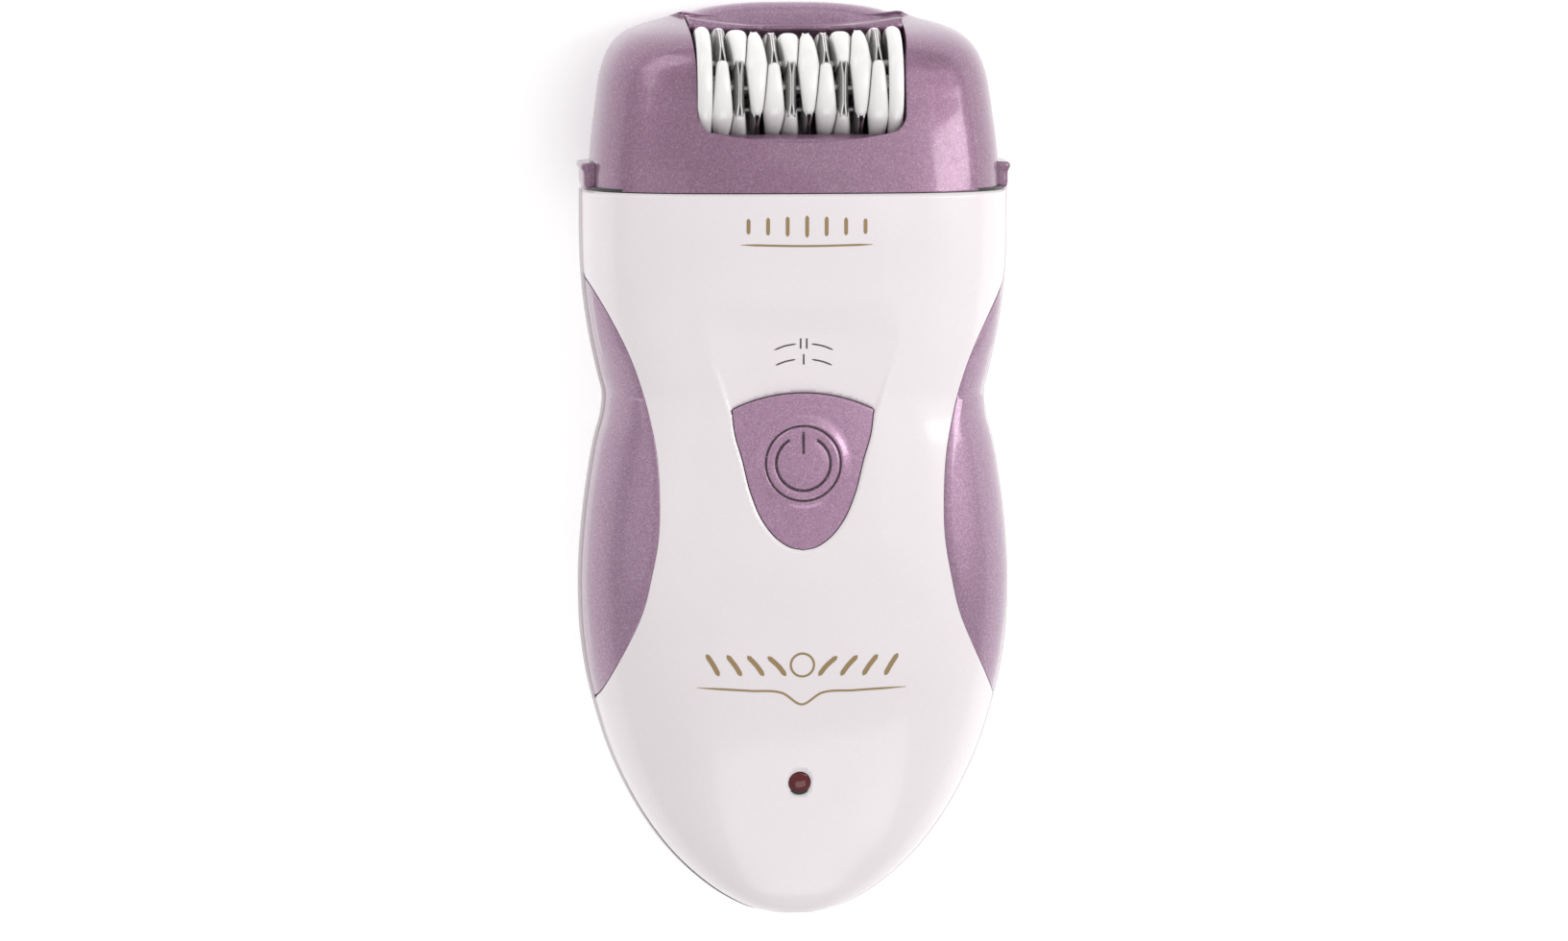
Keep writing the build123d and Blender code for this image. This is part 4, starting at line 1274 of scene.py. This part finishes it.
def buildDisc(index):
    # two petals, each a rounded tongue wrapped round the axis, fuller in the middle than at its ends
    xCentre, radius, gap = discPlace(index)
    u = np.linspace(-1, 1, 61)
    v = np.linspace(0, math.pi, 25)
    swing = np.sin(u * math.pi / 2)
    ends = np.sqrt(np.clip(1 - np.abs(u) ** 8, 0, 1))
    cheek = drum["cheek"] * (1 - 1.7 * np.abs(swing) * drum["petal"] / 60)
    thick = (drum["halfThick"] + cheek) * (0.6 + 0.4 * ends)
    low = (drum["hub"] + 0.6 * (1 - ends))[:, None]
    base = (radius - 1.6 * (1 - ends) - drum["rim"])[:, None]
    # the section across: up one flat, over the rounded rim and down the other
    up = np.linspace(0, 0.98, 4)[None, :]
    r = np.concatenate([low + (base - low) * up, base + drum["rim"] * np.sin(v)[None, :],
                        low + (base - low) * up[:, ::-1]], axis=1)
    over = np.sign(np.cos(v)) * np.abs(np.cos(v)) ** 0.75
    x = xCentre + thick[:, None] * np.concatenate([np.ones(4), over, -np.ones(4)])[None, :]
    petals = []
    for half in (0, 1):
        angle = gap + math.pi / 2 + half * math.pi + math.radians(drum["petal"]) * swing
        verts, faces = capEnds(drumPoint(x, r, widen(angle, r)))
        petals.append((verts, faces))
    verts = np.concatenate([petal[0] for petal in petals])
    faces = petals[0][1] + [[corner + len(petals[0][0]) for corner in face] for face in petals[1][1]]
    meshPiece("whiteDisc_%02d" % (index + 1), verts, faces, "drum", drumWhite, ["disc_%02d" % (index + 1)],
              "drum_white", weld=fineWeld)


# each kind: root radius, distance of its top under the disc's rim, width, thickness,
# and how far its root and its top stand from the gap's middle, once for each blade in a gap
blades = {
    "fixed": (3.6, 0.5, 9.6, 0.22, ((0.85, 0.16), (-0.85, -0.16))),
    "moving": (3.6, 3.2, 8.2, 0.16, ((0.0, 0.0),)),
    "rows": 8,
    "cols": 9,
    "point": 1.3,
}


def plate(x0, x1, low, high, wide, gap, thick):
    # a thin blade across a gap: x = x0 + (x1 - x0) * share cubed up to its pointed top
    rows, cols = blades["rows"], blades["cols"]
    count = rows * cols
    rad = np.linspace(low, high, rows)
    lean = x0 + (x1 - x0) * np.linspace(0, 1, rows) ** 3
    narrow = np.sqrt(1 - 0.75 * np.clip((rad - high) / blades["point"] + 1, 0, 1) ** 2)
    t = wide / 2 * np.linspace(-1, 1, cols)[None, :] * narrow[:, None]
    r = widen(rad, t)
    y = head["drumY"] + r * math.cos(gap) - t * math.sin(gap)
    z = head["drumZ"] + r * math.sin(gap) + t * math.cos(gap)
    verts = np.concatenate([np.stack([widen(lean + side * thick / 2, t), y, z], axis=-1).reshape(-1, 3)
                            for side in (1, -1)])
    grid = np.arange(count).reshape(rows, cols)
    loop = np.concatenate([grid[0], grid[1:, -1], grid[-1, -2::-1], grid[-2:0:-1, 0]])
    ahead = np.roll(loop, -1)
    walls = np.stack([ahead, loop, loop + count, ahead + count], axis=1)
    return verts, np.concatenate([gridFaces(rows, cols), gridFaces(rows, cols, flip=True) + count, walls])


def buildBlades(kind, name, body, nodeName, weld=0.000001):
    # the blades of one kind in both gaps of every disc
    low, under, wide, thick, leans = blades[kind]
    parts = []
    for index in range(drum["count"]):
        x, radius, gap = discPlace(index)
        parts += [plate(x + root, x + top, low, radius - under, wide, gap + half, thick)
                  for half in (0, math.pi) for root, top in leans]
    meshPiece(name, *joinParts(parts), body, bladeSteel, [nodeName], "tweezer_steel", smooth=False, weld=weld)


# radius and height; the rim is a full round of radius 1.1 about 8.8
flange = {"out": 15.7, "face": [(0.0, 0.7), (6.0, 0.7), (7.6, 0.75), (8.5, 1.1)],
          "back": [(8.4, -1.2), (0.0, -1.25)], "rim": (8.8, 1.1, 1.25, 0.15)}


def buildFlange(side, name, nodeName):
    # a glossy end disc with a full round rim and a dished inner face
    centre, reach, height, trim = flange["rim"]
    t = np.linspace(trim, math.pi - trim, 14)
    rim = [(centre + reach * math.sin(a), height * math.cos(a)) for a in t]
    profile = [(r, h * -side) for r, h in flange["face"] + rim + flange["back"]]
    verts, faces = lathe(profile, (drum["shift"] + side * flange["out"], head["drumY"], head["drumZ"]), 96, "x")
    meshPiece(name, verts, faces, "drum", drumWhite, [nodeName], "drum_white", weld=fineWeld)


for number in range(drum["count"]):
    buildDisc(number)
buildBlades("fixed", "fixedBlades", "drum", "fixed_tweezers")
buildBlades("moving", "movingBlades", "tweezer_set", "moving_tweezers")
buildFlange(1, "flangeRight", "right_flange")
buildFlange(-1, "flangeLeft", "left_flange")
print("drum made")


# ---- release tabs

tab = {
    "inner": 33.0,
    # along the handle, and how far out the face stands there
    "rows": np.array([(44.95, 34.3), (45.1, 34.9), (45.5, 35.05), (46.1, 35.1), (46.4, 35.1), (46.7, 35.1),
                      (47.3, 35.1), (47.6, 35.12), (47.9, 35.25), (48.4, 35.5), (48.9, 35.5), (49.2, 35.2),
                      (49.3, 34.4)]),
    # height, and how much further out or in
    "cols": np.array([(8.6, -0.9), (8.8, -0.35), (9.4, -0.1), (12.0, 0.0), (15.5, 0.0), (19.0, 0.0),
                      (21.6, -0.1), (22.2, -0.35), (22.4, -0.9)]),
}


def buildTab(side, name, nodeName, body):
    # a soft-edged block with a raised lip along its head end: rows and columns doubled at the border go in
    rows, cols = (np.pad(tab[key], ((1, 1), (0, 0)), "edge") for key in ("rows", "cols"))
    x = rows[:, 1:] + cols[:, 1]
    x[[0, -1]] = tab["inner"]
    x[:, [0, -1]] = tab["inner"]
    points = np.stack([x * side, widen(rows[:, 0], x), np.repeat(cols[None, :, 0], len(x), 0)], axis=-1)
    faces = gridFaces(*x.shape, flip=side < 0)
    meshPiece(name, points, faces, body, mauveDeep, [nodeName], "mauve_paint", weld=fineWeld, outward=False)


buildTab(1, "tabRight", "right_release", "right_tab")
buildTab(-1, "tabLeft", "left_release", "left_tab")
print("release tabs made")


# ---- floor, light and camera

studio = {
    "aim": (-0.0017, -0.0018, 0.018),
    "distance": 2.5,
    "lean": 4.0,
    "turn": 4.5,
    "lens": 348.0,
    "sensor": 36,
    "near": 0.01,
    "sky": (1.0, 1.0, 1.0),
    "skyStrength": 0.70,
    "paper": (0.93, 0.93, 0.93),
    "paperRoughness": 0.9,
    "paperGlow": 0.26,
    "floorHalf": 60.0,
    "floorDrop": -0.0004,
    # name, place, target, width and height, power
    "lights": (("keyLight", (0.35, 0.25, 0.75), (0, 0, 0.02), (0.5, 0.6), 0.70),
               ("sideBox", (0.50, 0.14, 0.34), (0.01, 0.02, 0.02), (0.20, 0.40), 1.25),
               ("fillLight", (-0.55, 0.05, 0.60), (0, 0, 0.02), (0.35, 0.7), 0.30),
               ("lowLight", (0.12, -0.70, 0.55), (0, -0.03, 0.02), (0.5, 0.3), 0.80),
               ("shoulderBox", (-0.42, 0.52, 0.30), (-0.01, 0.06, 0.02), (0.46, 0.30), 0.75),
               ("topLight", (0.0, 0.70, 0.35), (0, 0.02, 0.02), (0.7, 0.25), 0.25)),
}


def placeObject(name, data):
    # an object in the scene for a mesh, light or camera
    made = bpy.data.objects.new(name, data)
    bpy.context.scene.collection.objects.link(made)
    return made


def buildFloor():
    # a pale floor that lies under the object
    x, y = np.meshgrid(*[np.linspace(-studio["floorHalf"], studio["floorHalf"], 9)] * 2)
    verts = np.stack([x, y, np.full_like(x, studio["floorDrop"])], axis=-1).reshape(-1, 3)
    mesh = bpy.data.meshes.new("floor")
    mesh.from_pydata(verts.tolist(), [], gridFaces(*x.shape).tolist())
    paper = plainPlastic("floorPaper", studio["paper"], studio["paperRoughness"], spread=0.0, bump=0.0)
    shader = paper.node_tree.nodes["Principled BSDF"]
    shader.inputs["Emission Color"].default_value = (1, 1, 1, 1)
    shader.inputs["Emission Strength"].default_value = studio["paperGlow"]
    mesh.materials.append(paper)
    floor = placeObject("floor", mesh)


def areaLight(name, place, target, size, power):
    # a white rectangle of light at a place, in metres, turned to its target
    data = bpy.data.lights.new(name, "AREA")
    data.shape = "RECTANGLE"
    data.size, data.size_y = size
    data.energy = power
    lampObject = placeObject(name, data)
    lampObject.location = place
    lampObject.rotation_euler = (Vector(target) - Vector(place)).to_track_quat("-Z", "Y").to_euler()


def buildCamera():
    # looks at the aim from above, leaned towards the head and turned to the left by a few degrees
    lean = math.radians(studio["lean"])
    turn = math.radians(studio["turn"])
    towards = Vector((-math.sin(turn) * math.cos(lean), math.sin(lean), math.cos(turn) * math.cos(lean)))
    right = Vector((0, 1, 0)).cross(towards).normalized()
    turned = Matrix((right, towards.cross(right), towards)).transposed().to_4x4()
    data = bpy.data.cameras.new("camera")
    data.lens = studio["lens"]
    data.sensor_width = studio["sensor"]
    data.clip_start = studio["near"]
    camera = placeObject("camera", data)
    camera.matrix_world = Matrix.Translation(Vector(studio["aim"]) + towards * studio["distance"]) @ turned
    bpy.context.scene.camera = camera


buildFloor()
for light in studio["lights"]:
    areaLight(*light)
buildCamera()
world = bpy.data.worlds.new("softSky")
bpy.context.scene.world = world
world.use_nodes = True
sky = world.node_tree.nodes["Background"]
sky.inputs["Color"].default_value = (*studio["sky"], 1)
sky.inputs["Strength"].default_value = studio["skyStrength"]
bpy.context.scene.view_settings.view_transform = "Standard"
print("floor, light and camera made")
